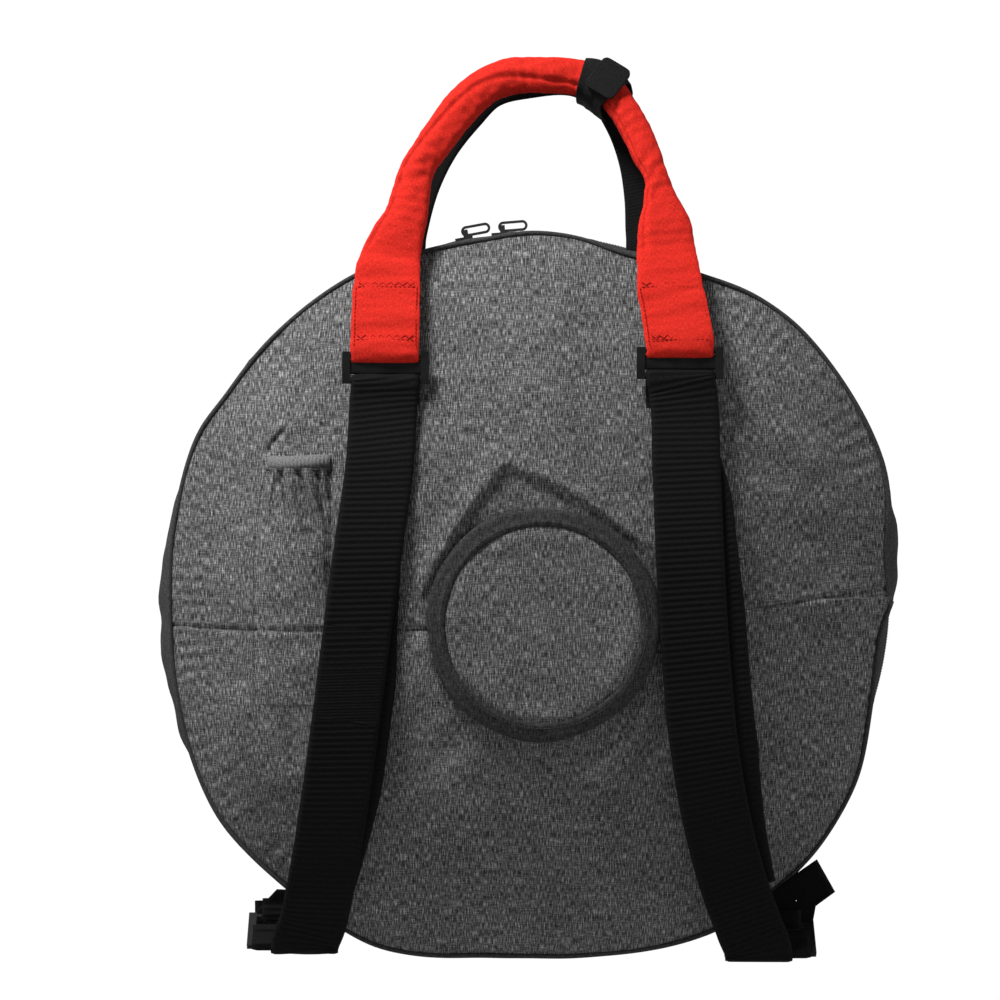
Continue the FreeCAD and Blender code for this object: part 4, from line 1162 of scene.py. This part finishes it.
def refine(node, material, bevel):
    """A CAD piece that keeps its shape, with softened edges and a real finish."""
    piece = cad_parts[node]
    for slot in piece.material_slots:
        slot.material = material
    rounding = piece.modifiers.new("softened_edges", "BEVEL")
    rounding.width = bevel * MM
    rounding.segments = 2
    rounding.angle_limit = math.radians(40)


WEB_HALF_WIDTH = 29.5


def build_loop_web(side):
    """The flat moulded web between the two bars of a top loop, under the handle's fold."""
    x, y, z = LOOP_BAR[side]
    across = np.linspace(-WEB_HALF_WIDTH, WEB_HALF_WIDTH, 60)
    angles = turns(28)
    c, s = np.cos(angles), np.sin(angles)
    height = z - LOOP_DROP / 2 + 0.6 + np.sign(s) * np.abs(s) ** 0.5 * 5.6
    depth = y + np.sign(c) * np.abs(c) ** 0.6 * 1.3
    swell = 1 + 0.06 * (np.abs(across) / WEB_HALF_WIDTH) ** 6
    points = xyz(x + across[:, None], y + (depth - y)[None, :] * swell[:, None], height[None, :])
    mesh_object("top_loop_web_" + side, [grid(points, close_columns=True)], BLACK_PLASTIC, "loop_" + side)


# (kind of fitting, material, width of its softened edges)
FITTINGS = (("top_loop_", BLACK_PLASTIC, 0.7), ("ladder_lock_", BLACK_PLASTIC, 0.7),
            ("zip_slider_", ZIP_METAL, 0.4), ("zip_pull_", ZIP_METAL, 0.3))


def finish_fittings():
    """Top loops, ladder locks, zip sliders and pulls."""
    for side in ("left", "right"):
        build_loop_web(side)
        for kind, material, bevel in FITTINGS:
            refine(kind + side, material, bevel)


# ---------------------------------------------------------------- camera, floor and light

CAMERA_PLACE = (-23.1, -2400.0, 74.7)
LENS, SENSOR = 110, 36
FLOOR_REACH, FLOOR_HEIGHT = 1.7, -1.33
# (name, place in metres, size, power)
LIGHTS = (("key", (-0.66, -0.70, 1.34), 0.45, 74), ("left", (-2.2, -0.35, 0.1), 0.9, 24),
          ("right", (2.2, -0.35, 0.1), 0.9, 17))
# the studio is white in a band at eye level, and darker above and below it
BAND_EDGE, BAND_END = 0.17, 0.24
BAND_STRENGTH, DARK_STRENGTH = 1.02, 0.05


def place_camera():
    """The camera in front of the strap side, a little left of and above the bag's middle."""
    data = bpy.data.cameras.new("camera")
    data.lens = LENS
    data.sensor_width = SENSOR
    data.clip_end = 50
    camera = bpy.data.objects.new("camera", data)
    camera.location = row(CAMERA_PLACE)
    camera.rotation_euler = (math.pi / 2, 0, 0)
    bpy.context.scene.collection.objects.link(camera)
    bpy.context.scene.camera = camera


def area_light(name, place, target, size, power):
    """A soft square light aimed at a point."""
    data = bpy.data.lights.new(name, "AREA")
    data.energy = power
    data.size = size
    light = bpy.data.objects.new(name, data)
    light.location = place
    light.rotation_euler = (Vector(target) - Vector(place)).to_track_quat("-Z", "Y").to_euler()
    bpy.context.scene.collection.objects.link(light)


def light_studio():
    """A pale floor far below the hanging bag, the studio round it and its three lights."""
    floor_mesh = bpy.data.meshes.new("floor")
    corners = [(x * FLOOR_REACH, y * FLOOR_REACH, FLOOR_HEIGHT)
               for x, y in ((-1, -1), (1, -1), (1, 1), (-1, 1))]
    floor_mesh.from_pydata(corners, [], [(0, 1, 2, 3)])
    floor = bpy.data.objects.new("floor", floor_mesh)
    material, tree, shader = start_material("floor_paper", 0.9, 0.1)
    mottle = noise_on(tree, (add_node(tree, "ShaderNodeTexCoord"), "Object"), 8, 8)
    paper = ramp_of(tree, (mottle, "Fac"), ((0.3, 0.66), (0.7, 0.70)))
    finish_material(tree, shader, (paper, "Color"))
    floor_mesh.materials.append(material)
    bpy.context.scene.collection.objects.link(floor)

    world = bpy.data.worlds.new("studio")
    world.use_nodes = True
    bpy.context.scene.world = world
    tree = world.node_tree
    direction = add_node(tree, "ShaderNodeTexCoord")
    split = add_node(tree, "ShaderNodeSeparateXYZ", {"Vector": (direction, "Generated")})
    height = add_node(tree, "ShaderNodeMath", {0: (split, "Z")}, operation="ABSOLUTE")
    shade = add_node(tree, "ShaderNodeMapRange", {
        "Value": (height, "Value"), "From Min": BAND_EDGE, "From Max": BAND_END,
        "To Min": BAND_STRENGTH, "To Max": DARK_STRENGTH})
    background = tree.nodes["Background"]
    tree.links.new(shade.outputs["Result"], background.inputs["Strength"])
    background.inputs["Color"].default_value = (1, 1, 1, 1)

    centre = tuple(row((0, -40, 0)))
    for name, place, size, power in LIGHTS:
        area_light(name, place, centre, size, power)
    bpy.context.scene.view_settings.view_transform = "Standard"


# ---------------------------------------------------------------- build

place_camera()
light_studio()
build_front_panels()
build_sides()
build_rear_panel()
build_linings()
build_zip()
build_centre_pad()
build_side_pocket()
for strap_side in ("left", "right"):
    build_strap(strap_side)
    build_roll(strap_side)
    build_anchor(strap_side)
build_handle()
build_rear_webbing()
build_wrap()
finish_fittings()
